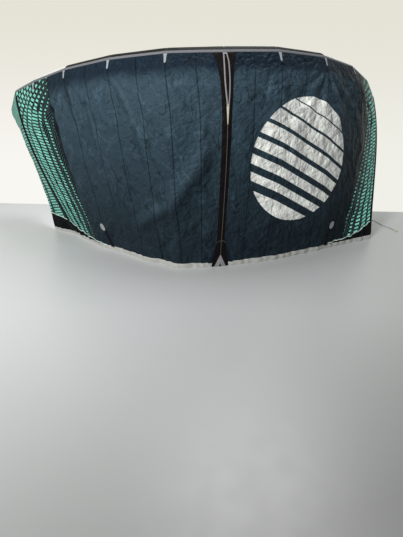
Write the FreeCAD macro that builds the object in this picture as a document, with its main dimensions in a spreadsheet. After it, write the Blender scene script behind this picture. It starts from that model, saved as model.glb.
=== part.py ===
"""Single-strut inflatable kite, standing on its trailing edge with the leading edge up.

Millimetres, +Z up.  The origin is where the axis of the centre strut meets the floor.  +X runs to
the kite's right half, the convex (outer) face of the canopy looks towards -Y, and the inflated tube
and the strut are on the concave side, towards +Y.

The leading-edge tube is a chain of straight tapered segments between stations 0 (centre) and 6
(tip).  The canopy hangs from it on ribs: each rib is one cubic curve from the tube's seam to the
trailing edge, and the cloth between two ribs is ruled.  A place on the canopy is a side, a station,
a chord fraction and an offset, which is measured outwards from the outer face of the cloth.
"""
import FreeCAD, Part
import math
import os

from FreeCAD import Matrix, Placement, Rotation, Vector

doc = FreeCAD.newDocument("Kite")
sheet = doc.addObject("Spreadsheet::Sheet", "sheet")
UP = Vector(0, 0, 1)

# ---------------------------------------------------------------- driving dimensions
SIDES = {"left": -1, "right": 1}
SIZES = {
    # leading-edge tube: place of its axis at the centre, walls and clearances
    "centre_height": 1646, "centre_setback": 100,
    "casing_wall": 2, "bladder_wall": 1, "film_gap": 0.3,
    "cloth": 2, "seam_gap": 0.4, "strut_gap": 0.7, "overlay_gap": 0.3, "tape": 1.2, "edge_tape": 1.6,
    # canopy: shares of the chord at which the control points of a rib stand, and chord fractions
    "front_pull": 0.30, "back_pull": 0.35,
    "tape_chord": 0.0015, "tape_width": 27, "tape_lift": 1.4, "band_chord": 0.976, "band_proud": 0.6,
    # centre strut
    "strut_front_radius": 48, "strut_back_radius": 27,
    "strut_front_chord": 0.014, "strut_end_chord": 0.962,
    "bladder_front_chord": 0.075, "bladder_back_chord": 0.95, "film_end": 0.002, "foot_radius": 24,
    # centre reinforcement
    "strip_top_half": 95, "strip_waist_half": 40, "strip_foot_half": 72,
    "strip_waist_chord": 0.3, "strip_flare_chord": 0.86,
    "piping_width": 7, "piping_spread": 14, "piping_chord": 0.3, "dart_half": 8, "dart_chord": 0.4,
    "centre_line_half": 2.5, "patch_half": 62, "patch_chord": 0.935,
    # tabs over the seams at the leading edge
    "tab_root_half": 13, "tab_tip_half": 6, "tab_chord": 0.044,
    # battens in their pockets and sleeves
    "pocket_half": 13, "pocket_chord": 0.86, "oval_radius": 20, "batten_half": 8, "batten_thick": 2,
    "sleeve_half": 11, "tip_batten_half": 6, "sleeve_top_chord": 0.03, "sleeve_foot_chord": 0.968,
    "sleeve_end": 0.004, "batten_end": 0.0048,
    # inflate valve
    "pad_radius": 32, "pad_height": 5, "pad_sink": 13, "neck_radius": 15, "neck_height": 22, "valve_bore": 11,
    "seat_radius": 8, "seat_thick": 2, "plunger_radius": 10.4, "plunger_thick": 2.2, "plunger_gap": 0.3,
    "stem_radius": 2, "stem_height": 6, "cap_radius": 18, "cap_thick": 6, "plug_radius": 10.6,
    "plug_depth": 4, "hinge_reach": 24, "hinge_height": 20, "hinge_pin_radius": 2, "hinge_run": 0.05,
    "barrel_radius": 4, "barrel_half": 4.6, "ear_thick": 4, "ear_gap": 0.4,
    # deflate valve
    "dump_radius": 20, "dump_height": 14, "dump_bore": 15, "dump_skirt": 4, "dump_top": 4,
    "dump_run": 0.3, "dump_skirt_depth": 8,
    # air transfer tube from the leading edge to the strut, and its clamp
    "transfer_radius": 11, "transfer_bore": 8, "transfer_reach": 90, "transfer_bend": 30,
    "transfer_chord": 0.15,
    "clamp_half": 15, "clamp_front": 24, "clamp_height": 12, "clamp_run": 0.3, "slider_place": 14,
    "slider_width": 8, "slider_thick": 3.6, "slider_length": 42, "slide_gap": 0.2,
    # webbing tabs for the bridle and the pigtails
    "webbing": 3, "bridle_width": 26, "bridle_reach": 26, "bridle_eye": 5,
    "anchor_length": 46, "anchor_reach": 26, "anchor_width": 24, "anchor_eye": 4,
    "cord_radius": 2.5, "knot_radius": 7, "knot_length": 30, "knot_round": 4,
    "closure_length": 45, "closure_radius": 16,
}
TUBE_RADII = (82, 80, 75, 68, 60, 51, 36)
SEGMENT_LENGTHS = (410, 465, 505, 468, 355, 440)
# Plan heading and drop of each tube segment, and the seam's angle above the tube's outer side.
HEADINGS = {"left": (0, 21, 32, 35, 38.2, 55.5), "right": (17, 31, 45, 51, 58.4, 98)}
DROPS = {"left": (1, 4, 7, 11, 14, 23.4), "right": (-1, 3.5, 7.5, 14, 16, 34)}
SEAM_ANGLES = {"left": (30, 30, 27, 23, 16, 11, 0), "right": (30, 30, 30, 33, 24.1, 18.3, 4)}
# Trailing edge on the floor: run and plan heading from rib to rib, and then the raised tip corner,
# as the length, heading and drop of the tip's own chord.
EDGE_RUNS = {"left": (370, 434, 469, 317, 205, 301), "right": (468, 520, 262, 276, 207, 250)}
EDGE_HEADINGS = {"left": (-6.4, 31.1, 33.2, 42.4, 45.8, 30.3), "right": (15.9, 23.6, 28.4, 25.3, 23.4, 74)}
TIP_CHORDS = {"left": (660, 160, 68), "right": (665, -84, 53)}
RIB_STATIONS = (0, 1, 2, 3, 4, 5, 5.5, 6)
# How far each rib swings out of the canopy above its foot, as a share of its rise.
EDGE_FLARES = {"left": (0.22, 0.22, 0.22, 0.22, 0.35, 0.48, -0.06, 0.02),
               "right": (0.22, 0.22, 0.22, 0.22, 0.04, -0.15, -0.08, -0.05)}
TIP = 6
SEAM_STATIONS = tuple(n / 2 for n in range(2 * TIP + 1))
# Chord fraction where the mint cloth ends and the black tip wedge begins.
WEDGE_TOPS = {3.5: 0.966, 4: 0.945, 5: 0.885, 5.5: 0.86, 6: 0.80}
# Station and chord fraction at the lower and upper end of each trailing-edge batten.
BATTENS = {"left": (2.71, 2.84), "right": (2.52, 2.60)}
BRIDLE_STATIONS = (1.5, 2.6, 4.4)
BRIDLE_ANGLE = 285
# Side and station of the valves, on the inner face of the tube.
VALVES = {"inflate": ("right", 0.55), "deflate": ("left", 0.5)}
VALVE_ANGLE = 200
# Free pigtail of the right tip after its anchor: it hangs down, then lies on the floor.
PIGTAIL_EXIT = 22
PIGTAIL_ROUTE = ((1627, 1449, 520), (1625, 1454, 468), (1628, 1445, 408),
                 (1633, 1433, 350), (1637, 1420, 295), (1641, 1405, 240), (1647, 1387, 184),
                 (1656, 1368, 130), (1671, 1346, 78), (1696, 1321, 34), (1732, 1292, 7),
                 (1776, 1264, 2.8), (1818, 1232, 2.8),
                 (1846, 1186, 2.8), (1864, 1134, 2.8), (1872, 1078, 2.8), (1886, 1022, 2.8),
                 (1914, 974, 2.8), (1938, 922, 2.8), (1950, 874, 3.4), (1957, 842, 7.1))
STRUT_SECTIONS = 9


def fill_sheet():
    """Write every driving dimension into the spreadsheet, each under its own alias."""
    cells = dict(SIZES)
    cells.update((f"tube_radius_{i}", radius) for i, radius in enumerate(TUBE_RADII))
    cells.update((f"segment_length_{i}", length) for i, length in enumerate(SEGMENT_LENGTHS, 1))
    for side in SIDES:
        tables = (("heading", HEADINGS, 1), ("drop", DROPS, 1), ("seam_angle", SEAM_ANGLES, 0),
                  ("edge_run", EDGE_RUNS, 1), ("edge_heading", EDGE_HEADINGS, 1),
                  ("edge_flare", EDGE_FLARES, 0))
        for word, table, first in tables:
            for i, value in enumerate(table[side], first):
                cells[f"{side}_{word}_{i}"] = value
        for word, value in zip(("chord", "heading", "drop"), TIP_CHORDS[side]):
            cells[f"{side}_tip_{word}"] = value
    for row, (alias, value) in enumerate(cells.items(), 1):
        sheet.set(f"A{row}", alias.replace("_", " "))
        sheet.set(f"B{row}", str(value))
        sheet.setAlias(f"B{row}", alias)
    doc.recompute()


def size(alias):
    return float(sheet.get(alias))


# ---------------------------------------------------------------- small geometry helpers
def unit(v):
    return v * (1.0 / v.Length)


def mix(a, b, t):
    return a * (1 - t) + b * t


def plan_step(sign, run, heading, drop=0.0):
    """A step outwards on one side: a plan heading towards +Y and a drop, in degrees."""
    turn, fall = math.radians(heading), math.radians(drop)
    flat = math.cos(fall)
    return Vector(sign * flat * math.cos(turn), flat * math.sin(turn), -math.sin(fall)) * run


def frame_at(origin, z_axis, x_hint):
    """Placement with its Z along z_axis and its X as near to x_hint as it can be."""
    z = unit(z_axis)
    x = unit(x_hint - z * x_hint.dot(z))
    y = z.cross(x)
    return Placement(Matrix(x.x, y.x, z.x, origin.x, x.y, y.y, z.y, origin.y,
                            x.z, y.z, z.z, origin.z, 0, 0, 0, 1))


def moved(frame, x=0.0, y=0.0, z=0.0, axis=UP, turn=0.0):
    """The same frame, shifted and then turned in its own axes."""
    return frame.multiply(Placement(Vector(x, y, z), Rotation(axis, turn)))


# ---------------------------------------------------------------- rings and ribs
class Ring:
    """Cross-section of the tube at a station, in the mitre plane of the two segments there."""

    def __init__(self, sign, centre, normal, radius):
        self.centre, self.normal, self.radius = centre, unit(normal), radius
        self.up = unit(UP - self.normal * self.normal.z)
        self.out = unit(self.up.cross(self.normal)) * -sign

    def radial(self, degrees):
        angle = math.radians(degrees)
        return self.out * math.cos(angle) + self.up * math.sin(angle)


class Rib:
    """One chordwise curve of the canopy's outer face, as four control points."""

    def __init__(self, poles, out_top, out_foot):
        self.poles, self.out_top, self.out_foot = poles, out_top, out_foot

    @classmethod
    def from_ends(cls, top, leave, foot, out_top, out_foot, flare):
        chord = top - foot
        back = unit(unit(chord) + UP + out_foot * flare)
        poles = (top, top + leave * (size("front_pull") * chord.Length),
                 foot + back * (size("back_pull") * chord.Length), foot)
        return cls(poles, out_top, out_foot)

    def between(self, other, t):
        poles = tuple(mix(a, b, t) for a, b in zip(self.poles, other.poles))
        return Rib(poles, unit(mix(self.out_top, other.out_top, t)),
                   unit(mix(self.out_foot, other.out_foot, t)))

    def normal(self, f):
        if f >= 1:
            return self.out_foot
        g = 1 - f
        tangent = Vector()
        for a, b, weight in zip(self.poles, self.poles[1:], (g * g, 2 * g * f, f * f)):
            tangent += (b - a) * weight
        tangent = unit(tangent)
        out = mix(self.out_top, self.out_foot, f)
        return unit(out - tangent * out.dot(tangent))

    def point(self, f, offset=0.0):
        g = 1 - f
        place = Vector()
        for pole, weight in zip(self.poles, (g * g * g, 3 * g * g * f, 3 * g * f * f, f * f * f)):
            place += pole * weight
        return place + self.normal(f) * offset


def edge_steps(side):
    """Steps of the trailing edge on the floor, from rib to rib."""
    return [plan_step(SIDES[side], size(f"{side}_edge_run_{i}"), size(f"{side}_edge_heading_{i}"))
            for i in range(1, TIP + 1)]


def edge_normal(sign, before, after):
    return unit((unit(before) + unit(after)).cross(UP)) * sign


def tube_steps(side):
    return [plan_step(SIDES[side], size(f"segment_length_{i}"), size(f"{side}_heading_{i}"),
                      size(f"{side}_drop_{i}")) for i in range(1, TIP + 1)]


def strut_radius(f):
    return mix(size("strut_front_radius"), size("strut_back_radius"), f)


def strut_stand_off(f):
    """Strut axis to outer cloth at the centre rib: the strut lies in the crease of the two halves."""
    crease = (edge_steps("left")[0] * -1).getAngle(edge_steps("right")[0]) / 2
    return size("cloth") + size("strut_gap") + strut_radius(f) / math.cos(crease)


def edge_start():
    """Outward direction and outer foot of the canopy at the centre, in front of the strut's foot."""
    out = edge_normal(1, edge_steps("left")[0] * -1, edge_steps("right")[0])
    return out, out * strut_stand_off(1)


def make_rings():
    """Rings 0 to 6 of each side, every normal pointing from the centre to the tip."""
    start = edge_start()[1] + Vector(0, size("centre_setback"), size("centre_height"))
    across = unit(tube_steps("right")[0]) - unit(tube_steps("left")[0])
    rings = {}
    for side, sign in SIDES.items():
        steps = tube_steps(side)
        centre = start
        rings[side] = [Ring(sign, centre, across * sign, size("tube_radius_0"))]
        for i, step in enumerate(steps, 1):
            centre = centre + step
            after = steps[i] if i < TIP else step
            rings[side].append(Ring(sign, centre, unit(step) + unit(after), size(f"tube_radius_{i}")))
    return rings


def make_ribs(rings):
    """Ribs of each side by station, from the seam on the tube to the trailing edge."""
    centre_out, start = edge_start()
    stand_off = size("seam_gap") + size("cloth")
    ribs = {}
    for side, sign in SIDES.items():
        tops, leaves = [], []
        for i, ring in enumerate(rings[side]):
            angle = size(f"{side}_seam_angle_{i}")
            tops.append(ring.centre + ring.radial(angle) * (ring.radius + stand_off))
            leaves.append(ring.radial(angle - 90))
        steps = edge_steps(side)
        feet = [start]
        for step in steps:
            feet.append(feet[-1] + step)
        corner = tops[TIP] + plan_step(sign, size(f"{side}_tip_chord"), size(f"{side}_tip_heading"),
                                       size(f"{side}_tip_drop"))
        rise = corner - feet[TIP]
        steps.append(Vector(rise.x, rise.y, 0))
        outs = [ring.out for ring in rings[side]]
        flares = [size(f"{side}_edge_flare_{i}") for i in range(len(RIB_STATIONS))]
        table = {0: Rib.from_ends(tops[0], leaves[0], start, outs[0], centre_out, flares[0])}
        for i in range(1, TIP):
            foot_out = edge_normal(sign, steps[i - 1], steps[i])
            table[i] = Rib.from_ends(tops[i], leaves[i], feet[i], outs[i], foot_out, flares[i])
        foot_out = edge_normal(sign, steps[TIP - 1], steps[TIP])
        table[5.5] = Rib.from_ends((tops[5] + tops[6]) / 2, unit(leaves[5] + leaves[6]), feet[TIP],
                                   unit(outs[5] + outs[6]), foot_out, flares[6])
        table[6] = Rib.from_ends(tops[6], leaves[6], corner, outs[6], outs[6], flares[7])
        ribs[side] = table
    return ribs


fill_sheet()
RINGS = make_rings()
RIBS = make_ribs(RINGS)


def rib_at(side, station):
    """The rib at any station: between two sewn ribs the cloth is ruled."""
    table = RIBS[side]
    if station in table:
        return table[station]
    low = max(s for s in RIB_STATIONS if s < station)
    high = min(s for s in RIB_STATIONS if s > station)
    return table[low].between(table[high], (station - low) / (high - low))


def station_width(side, station, f, width):
    """How many stations a width across the cloth is, at a place inside a tube segment."""
    i = min(int(station) + 1, TIP)
    return width / mix(size(f"segment_length_{i}"), size(f"{side}_edge_run_{i}"), f)


# ---------------------------------------------------------------- document objects
def circle(name, radius, frame):
    ring = doc.addObject("Part::Circle", name)
    ring.setExpression("Radius", radius)
    ring.Placement = frame
    return ring


def loft(name, sections):
    skin = doc.addObject("Part::Loft", name)
    skin.Sections = sections
    skin.Solid = True
    skin.Ruled = True
    return skin


def cut(name, base, *tools):
    """Base minus each tool in turn; the last cut carries the name."""
    for i, tool in enumerate(tools, 1):
        last = doc.addObject("Part::Cut", name if i == len(tools) else f"{name}_cut_{i}")
        last.Base, last.Tool = base, tool
        base = last
    return base


def fuse(name, *shapes):
    joined = doc.addObject("Part::MultiFuse", name)
    joined.Shapes = list(shapes)
    return joined


def cylinder(name, radius, height, frame):
    body = doc.addObject("Part::Cylinder", name)
    body.setExpression("Radius", radius)
    body.setExpression("Height", height)
    body.Placement = frame
    return body


def box(name, length, width, height, frame):
    body = doc.addObject("Part::Box", name)
    body.setExpression("Length", length)
    body.setExpression("Width", width)
    body.setExpression("Height", height)
    body.Placement = frame
    return body


def feature(name, shape):
    body = doc.addObject("Part::Feature", name)
    body.Shape = shape
    return body


SUBPARTS = []


def keep(obj, label=None):
    """Count an object as a sub-part; its label names the node and the file."""
    obj.Label = label or obj.Name
    SUBPARTS.append(obj)
    return obj


# ---------------------------------------------------------------- cloth
def canopy_place(side, station, f, offset):
    """Place on the canopy at a station and chord fraction, and an offset off its outer face."""
    return rib_at(side, station).point(f, offset)


def tube_place(side, station, width, offset):
    """Place on the tube beside the seam: a width up from it, and an offset off the tube."""
    i = min(int(station) + 1, TIP)
    a, b, t = RINGS[side][i - 1], RINGS[side][i], station - i + 1
    seam = rib_at(side, station).point(0) - mix(a.centre, b.centre, t)
    turn = math.atan2(seam.dot(unit(mix(a.up, b.up, t))), seam.dot(unit(mix(a.out, b.out, t))))
    angle = math.degrees(turn + width / mix(a.radius, b.radius, t))
    return mix(*(ring.centre + ring.radial(angle) * (ring.radius + offset) for ring in (a, b)), t)


def cloth_curve(side, start, end, offset, place):
    """Cubic through four places between two pairs of a station and the place's own coordinate."""
    places = []
    for t in (0, 1 / 3, 2 / 3, 1):
        station, along = mix(start[0], end[0], t), mix(start[1], end[1], t)
        places.append(place(side, station, along, offset))
    a, b, c, d = places
    one = (b * 18 - c * 9 - a * 5 + d * 2) / 6
    two = (c * 18 - b * 9 - d * 5 + a * 2) / 6
    curve = Part.BezierCurve()
    curve.setPoles([a, one, two, d])
    return curve


def strip(side, first, second, low, high, place=canopy_place):
    """Solid piece of cloth between two chordwise edges, each a (start, end) pair of places."""
    outer, inner = ([cloth_curve(side, *edge, offset, place).toShape() for edge in (first, second)]
                    for offset in (high, low))

    def rung(a, b, end):
        return Part.LineSegment(a.Vertexes[end].Point, b.Vertexes[end].Point).toShape()

    rims = [Part.makeRuledSurface(rung(outer[0], outer[1], end), rung(inner[0], inner[1], end))
            for end in (0, 1)]
    sides = [Part.makeRuledSurface(*pair) for pair in (outer, inner, *zip(outer, inner))]
    shell = Part.makeCompound(sides + rims)
    shell.sewShape()
    solid = Part.makeSolid(shell.Shells[0])
    if solid.Volume < 0:
        solid.reverse()
    return solid


def chord_strip(side, first, second, tops, feet, low, high):
    """Cloth between two stations; tops and feet hold the chord fractions at either station."""
    return strip(side, ((first, tops[0]), (first, feet[0])), ((second, tops[1]), (second, feet[1])),
                 low, high)


def joined(shapes):
    """One solid of pieces that share their rib faces."""
    whole = shapes[0].multiFuse(shapes[1:])
    return whole.Solids[0] if len(whole.Solids) == 1 else whole


def wedge_top(station):
    """Chord fraction where the black tip wedge begins, linear between its named stations."""
    stations = sorted(WEDGE_TOPS)
    for low, high in zip(stations, stations[1:]):
        if low <= station <= high:
            return mix(WEDGE_TOPS[low], WEDGE_TOPS[high], (station - low) / (high - low))
    return size("band_chord")


def make_canopy():
    """Navy panels in the middle and mint panels at the tip, sewn at stations and half-stations."""
    cloth, band = size("cloth"), size("band_chord")
    groups = {"canopy_{}_1": (0, 0.5, 1), "canopy_{}_2": (1, 1.5, 2), "canopy_{}_3": (2, 2.5, 3),
              "canopy_{}_4": (3, 3.5), "tip_panel_{}_1": (3.5, 4), "tip_panel_{}_2": (4, 4.5, 5),
              "tip_panel_{}_3": (5, 5.5, 6)}
    for side in SIDES:
        for name, stations in groups.items():
            foot = wedge_top if name.startswith("tip") else (lambda station: band)
            pieces = [chord_strip(side, a, b, (0, 0), (foot(a), foot(b)), -cloth, 0)
                      for a, b in zip(stations, stations[1:])]
            keep(feature(name.format(side), Part.makeCompound(pieces)))
        wedge = [chord_strip(side, a, b, (wedge_top(a), wedge_top(b)), (band, band), -cloth, 0)
                 for a, b in ((3.5, 4), (4, 4.5), (4.5, 5), (5, 5.5), (5.5, 6))]
        keep(feature(f"tip_wedge_{side}", joined(wedge)))


def make_edge_tapes():
    """Hem along the trailing edge, which stands on the floor, and tape on the tube above the seam."""
    cloth, gap, proud, band = size("cloth"), size("overlay_gap"), size("band_proud"), size("band_chord")
    foot, head = size("tape_lift"), size("tape_lift") + size("tape_width")
    pairs = list(zip(SEAM_STATIONS, SEAM_STATIONS[1:]))
    for side in SIDES:
        hem = [chord_strip(side, a, b, (band, band), (1, 1), -cloth - proud, proud) for a, b in pairs]
        keep(feature(f"trailing_edge_band_{side}", joined(hem)))
        tape = [strip(side, ((a, head), (a, foot)), ((b, head), (b, foot)), gap, gap + size("edge_tape"),
                      tube_place) for a, b in pairs]
        keep(feature(f"leading_edge_tape_{side}", joined(tape)))


def centred(side, f, half):
    """Place at half a width from the centre rib."""
    return (station_width(side, 0, f, half), f)


def make_centre_patches():
    """Reinforcement over the strut: black strip, piping, dart, centre line and edge patch."""
    gap, tape = size("overlay_gap"), size("tape")
    low, high = gap, gap + tape
    top, waist, flare, band = (size(name) for name in
                               ("tape_chord", "strip_waist_chord", "strip_flare_chord", "band_chord"))
    halves = ((top, size("strip_top_half")), (waist, size("strip_waist_half")),
              (flare, size("strip_waist_half")), (band, size("strip_foot_half")))
    strips, piping, darts, patch = [], [], [], []
    above = high + gap
    meet, dart_end, spread = size("piping_chord"), size("dart_chord"), size("piping_spread")
    width, line = size("piping_width"), size("centre_line_half")
    for side in SIDES:
        for (f0, half0), (f1, half1) in zip(halves, halves[1:]):
            edge = (centred(side, f0, half0), centred(side, f1, half1))
            strips.append(strip(side, ((0, f0), (0, f1)), edge, low, high))
        piping.append(strip(side, (centred(side, top, spread), centred(side, meet, line)),
                            (centred(side, top, spread + width), centred(side, meet, line + width)),
                            above, above + tape))
        piping.append(strip(side, ((0, dart_end), (0, band)),
                            (centred(side, dart_end, line), centred(side, band, line)),
                            above, above + tape))
        darts.append(strip(side, ((0, meet), (0, dart_end)),
                           (centred(side, meet, size("dart_half")), centred(side, dart_end, line)),
                           above, above + tape))
        patch.append(strip(side, ((0, size("patch_chord")), (0, 1)),
                           (centred(side, size("patch_chord"), line), centred(side, 1, size("patch_half"))),
                           above + tape + gap, above + tape + gap + tape))
    keep(feature("centre_strip", joined(strips)))
    keep(feature("centre_piping", joined(piping)))
    keep(feature("centre_dart", joined(darts)))
    keep(feature("trailing_edge_patch", joined(patch)))


def make_seam_tabs():
    """Tapered tabs over the seams where they meet the leading edge."""
    low = size("overlay_gap")
    high = low + size("tape")
    top, foot = size("tape_chord"), size("tab_chord")
    tabs = []
    for side in SIDES:
        for station in (1, 2, 3, 4):
            halves = []
            for sign in (-1, 1):
                inside = station + sign / 2
                root = station + sign * station_width(side, inside, top, size("tab_root_half"))
                tip = station + sign * station_width(side, inside, foot, size("tab_tip_half"))
                halves.append(strip(side, ((station, top), (station, foot)), ((root, top), (tip, foot)),
                                    low, high))
            tabs.append(joined(halves))
    keep(feature("seam_tabs", Part.makeCompound(tabs)))


def slanted(side, foot, head, half, low, high):
    """Straight strip of one width that runs up the cloth inside one ruled panel."""
    edges = []
    for sign in (-1, 1):
        edges.append(tuple((s + sign * station_width(side, s, f, half), f) for s, f in (head, foot)))
    return strip(side, edges[0], edges[1], low, high)


def beside(side, station, tops, near, far, low, high):
    """Strip that keeps its distance from a rib, on the centre's side of it."""
    edges = []
    for distance in (near, far):
        edges.append(tuple((station - station_width(side, station - 0.5, f, distance), f) for f in tops))
    return strip(side, edges[0], edges[1], low, high)


def make_battens():
    """Short battens at the trailing edge and long ones at the tips, each in a closed sleeve."""
    low, tape, gap = size("overlay_gap"), size("tape"), size("film_gap")
    floor, thick, end, rod_end = low + tape, size("batten_thick"), size("sleeve_end"), size("batten_end")
    roof = floor + thick + 2 * gap
    pockets, battens, sleeves, rods = [], [], [], []
    for side in SIDES:
        lower, upper = BATTENS[side]
        foot, head = size("band_chord"), size("pocket_chord")

        def on_line(f):
            return mix(lower, upper, (foot - f) / (foot - head)), f

        half, wide = size("batten_half"), size("pocket_half")
        shell = slanted(side, on_line(foot), on_line(head), wide, low, roof + tape)
        cavity = slanted(side, on_line(foot - end), on_line(head + end), half + gap, floor, roof)
        pockets.append(shell.cut(cavity))
        rib = rib_at(side, upper)
        pockets.append(Part.makeCylinder(size("oval_radius"), tape, rib.point(head, roof + tape + low),
                                         rib.normal(head)))
        battens.append(slanted(side, on_line(foot - rod_end), on_line(head + rod_end), half,
                               floor + gap, floor + gap + thick))
        top, base = size("sleeve_top_chord"), size("sleeve_foot_chord")
        half, wide = size("tip_batten_half"), size("sleeve_half")
        shell = beside(side, 5, (top, base), 0, 2 * wide, low, roof + tape)
        cavity = beside(side, 5, (top + end, base - end), wide - half - gap, wide + half + gap, floor, roof)
        sleeves.append(shell.cut(cavity))
        rods.append(beside(side, 5, (top + rod_end, base - rod_end), wide - half, wide + half,
                           floor + gap, floor + gap + thick))
    keep(feature("batten_pockets", Part.makeCompound(pockets)))
    keep(feature("trailing_edge_battens", Part.makeCompound(battens)))
    keep(feature("tip_batten_sleeves", Part.makeCompound(sleeves)))
    keep(feature("tip_battens", Part.makeCompound(rods)))


# ---------------------------------------------------------------- leading-edge tube
def ring_frame(ring, shift=0.0, flip=False):
    axis = ring.normal * (-1 if flip else 1)
    return frame_at(ring.centre + ring.normal * shift, axis, ring.out)


def whole_tube(name, radius_change, end_shift=0, reach=TIP):
    """One ruled loft through the rings of both sides, as far as a station, on a changed radius."""
    left = [(i, ring_frame(RINGS["left"][i], end_shift if i == TIP else 0, flip=True))
            for i in range(reach, 0, -1)]
    right = [(i, ring_frame(RINGS["right"][i], end_shift if i == TIP else 0)) for i in range(reach + 1)]
    sections = [circle(f"{name}_ring_{n}", f"sheet.tube_radius_{i} {radius_change}", frame)
                for n, (i, frame) in enumerate(left + right)]
    return loft(name, sections)


def tube_frame(side, along, degrees):
    """Frame on the tube's surface: Z is radial, X runs along the tube towards the tip."""
    i = min(int(along) + 1, TIP)
    a, b, t = RINGS[side][i - 1], RINGS[side][i], along - i + 1
    radial = unit(mix(a.radial(degrees), b.radial(degrees), t))
    centre = mix(a.centre, b.centre, t)
    return frame_at(centre + radial * mix(a.radius, b.radius, t), radial, b.centre - a.centre)


def make_tube(air_holes):
    """Casing segments with a sewn mitre at each station, the bladder inside and the tip closures."""
    for side in SIDES:
        for i in range(1, TIP + 1):
            name = f"casing_{side}_{i}"
            ends = []
            for wall, change in (("outer", ""), ("inner", "- sheet.casing_wall")):
                rings = [circle(f"{name}_{wall}_{n}", f"sheet.tube_radius_{n} {change}",
                                ring_frame(RINGS[side][n])) for n in (i - 1, i)]
                ends.append(loft(f"{name}_{wall}", rings))
            holes = [air_holes[side]] if i == 1 else []
            keep(cut(name, ends[0], ends[1], *holes))
    gap = "- sheet.casing_wall - sheet.film_gap"
    film = whole_tube("bladder_outer", gap)
    hollow = whole_tube("bladder_inner", gap + " - sheet.bladder_wall", -size("bladder_wall"))
    keep(cut("leading_edge_bladder", film, hollow, *air_holes.values()))
    closures = []
    for side in SIDES:
        ring, wall = RINGS[side][TIP], size("casing_wall")
        length = size("closure_length")
        shells = []
        for word, change, reach in (("outer", "", length), ("inner", "- sheet.casing_wall", length - wall)):
            sections = [circle(f"closure_{side}_{word}_root", f"sheet.tube_radius_{TIP} {change}",
                               ring_frame(ring)),
                        circle(f"closure_{side}_{word}_end", f"sheet.closure_radius {change}",
                               ring_frame(ring, reach))]
            shells.append(loft(f"closure_{side}_{word}", sections))
        closures.append(cut(f"closure_{side}", *shells))
    group = doc.addObject("Part::Compound", "tip_closures")
    group.Links = closures
    keep(group)


# ---------------------------------------------------------------- centre strut
def strut_axis(f):
    rib = RIBS["right"][0]
    return rib.point(f) - rib.normal(f) * strut_stand_off(f)


def strut_stations():
    """Chord fractions of the sewn rings of the strut, from the tube to the end cap."""
    first, last = size("strut_front_chord"), size("strut_end_chord")
    return [mix(first, last, n / (STRUT_SECTIONS - 1)) for n in range(STRUT_SECTIONS)]


def strut_frame(f):
    """Ring frame on the strut's axis, which is straight between the sewn rings."""
    stations = strut_stations()
    low = max([s for s in stations if s <= f], default=stations[0])
    high = min([s for s in stations if s > f], default=stations[-1])
    place = mix(strut_axis(low), strut_axis(high), (f - low) / (high - low)) if high > low else strut_axis(f)
    step = 0.002
    return frame_at(place, strut_axis(f + step) - strut_axis(f - step), RIBS["right"][0].out_top)


def strut_loft(name, first, last, change):
    rings = []
    inner = [f for f in strut_stations() if first < f < last]
    for n, f in enumerate([first, *inner, last]):
        radius = f"sheet.strut_front_radius * {1 - f} + sheet.strut_back_radius * {f} {change}"
        rings.append(circle(f"{name}_ring_{n}", radius, strut_frame(f)))
    return loft(name, rings)


def make_strut(tube_envelope):
    """Strut casing trimmed to the tube, its own bladder, and the end cap that stands on the floor."""
    front, back, wall = size("strut_front_chord"), size("strut_end_chord"), "- sheet.casing_wall"
    outer = strut_loft("strut_outer", front, back, "")
    inner = strut_loft("strut_inner", front, back, wall)
    keep(cut("strut_casing", outer, inner, tube_envelope))
    gap = wall + " - sheet.film_gap"
    start, end = size("bladder_front_chord"), size("bladder_back_chord")
    thin = size("film_end")
    film = strut_loft("strut_film", start, end, gap)
    hollow = strut_loft("strut_hollow", start + thin, end - thin, gap + " - sheet.bladder_wall")
    keep(cut("strut_bladder", film, hollow))
    root = circle("foot_root", f"sheet.strut_front_radius * {1 - back} + sheet.strut_back_radius * {back}",
                  strut_frame(back))
    floor = circle("foot_floor", "sheet.foot_radius", frame_at(Vector(), -UP, RIBS["right"][0].out_top))
    keep(loft("strut_end_cap", [root, floor]))


# ---------------------------------------------------------------- valves
def valve_pad(name, frame, neck_radius, neck_height, envelope, *extra):
    """Moulded flange that seats on the tube, with a round neck."""
    seat = moved(frame, z=-size("pad_sink"))
    pad = cylinder(f"{name}_pad", "sheet.pad_radius", "sheet.pad_height + sheet.pad_sink", seat)
    neck = cylinder(f"{name}_neck", neck_radius, f"{neck_height} + sheet.pad_sink", seat)
    return cut(f"{name}_seated", fuse(f"{name}_body", pad, neck, *extra), envelope)


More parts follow.
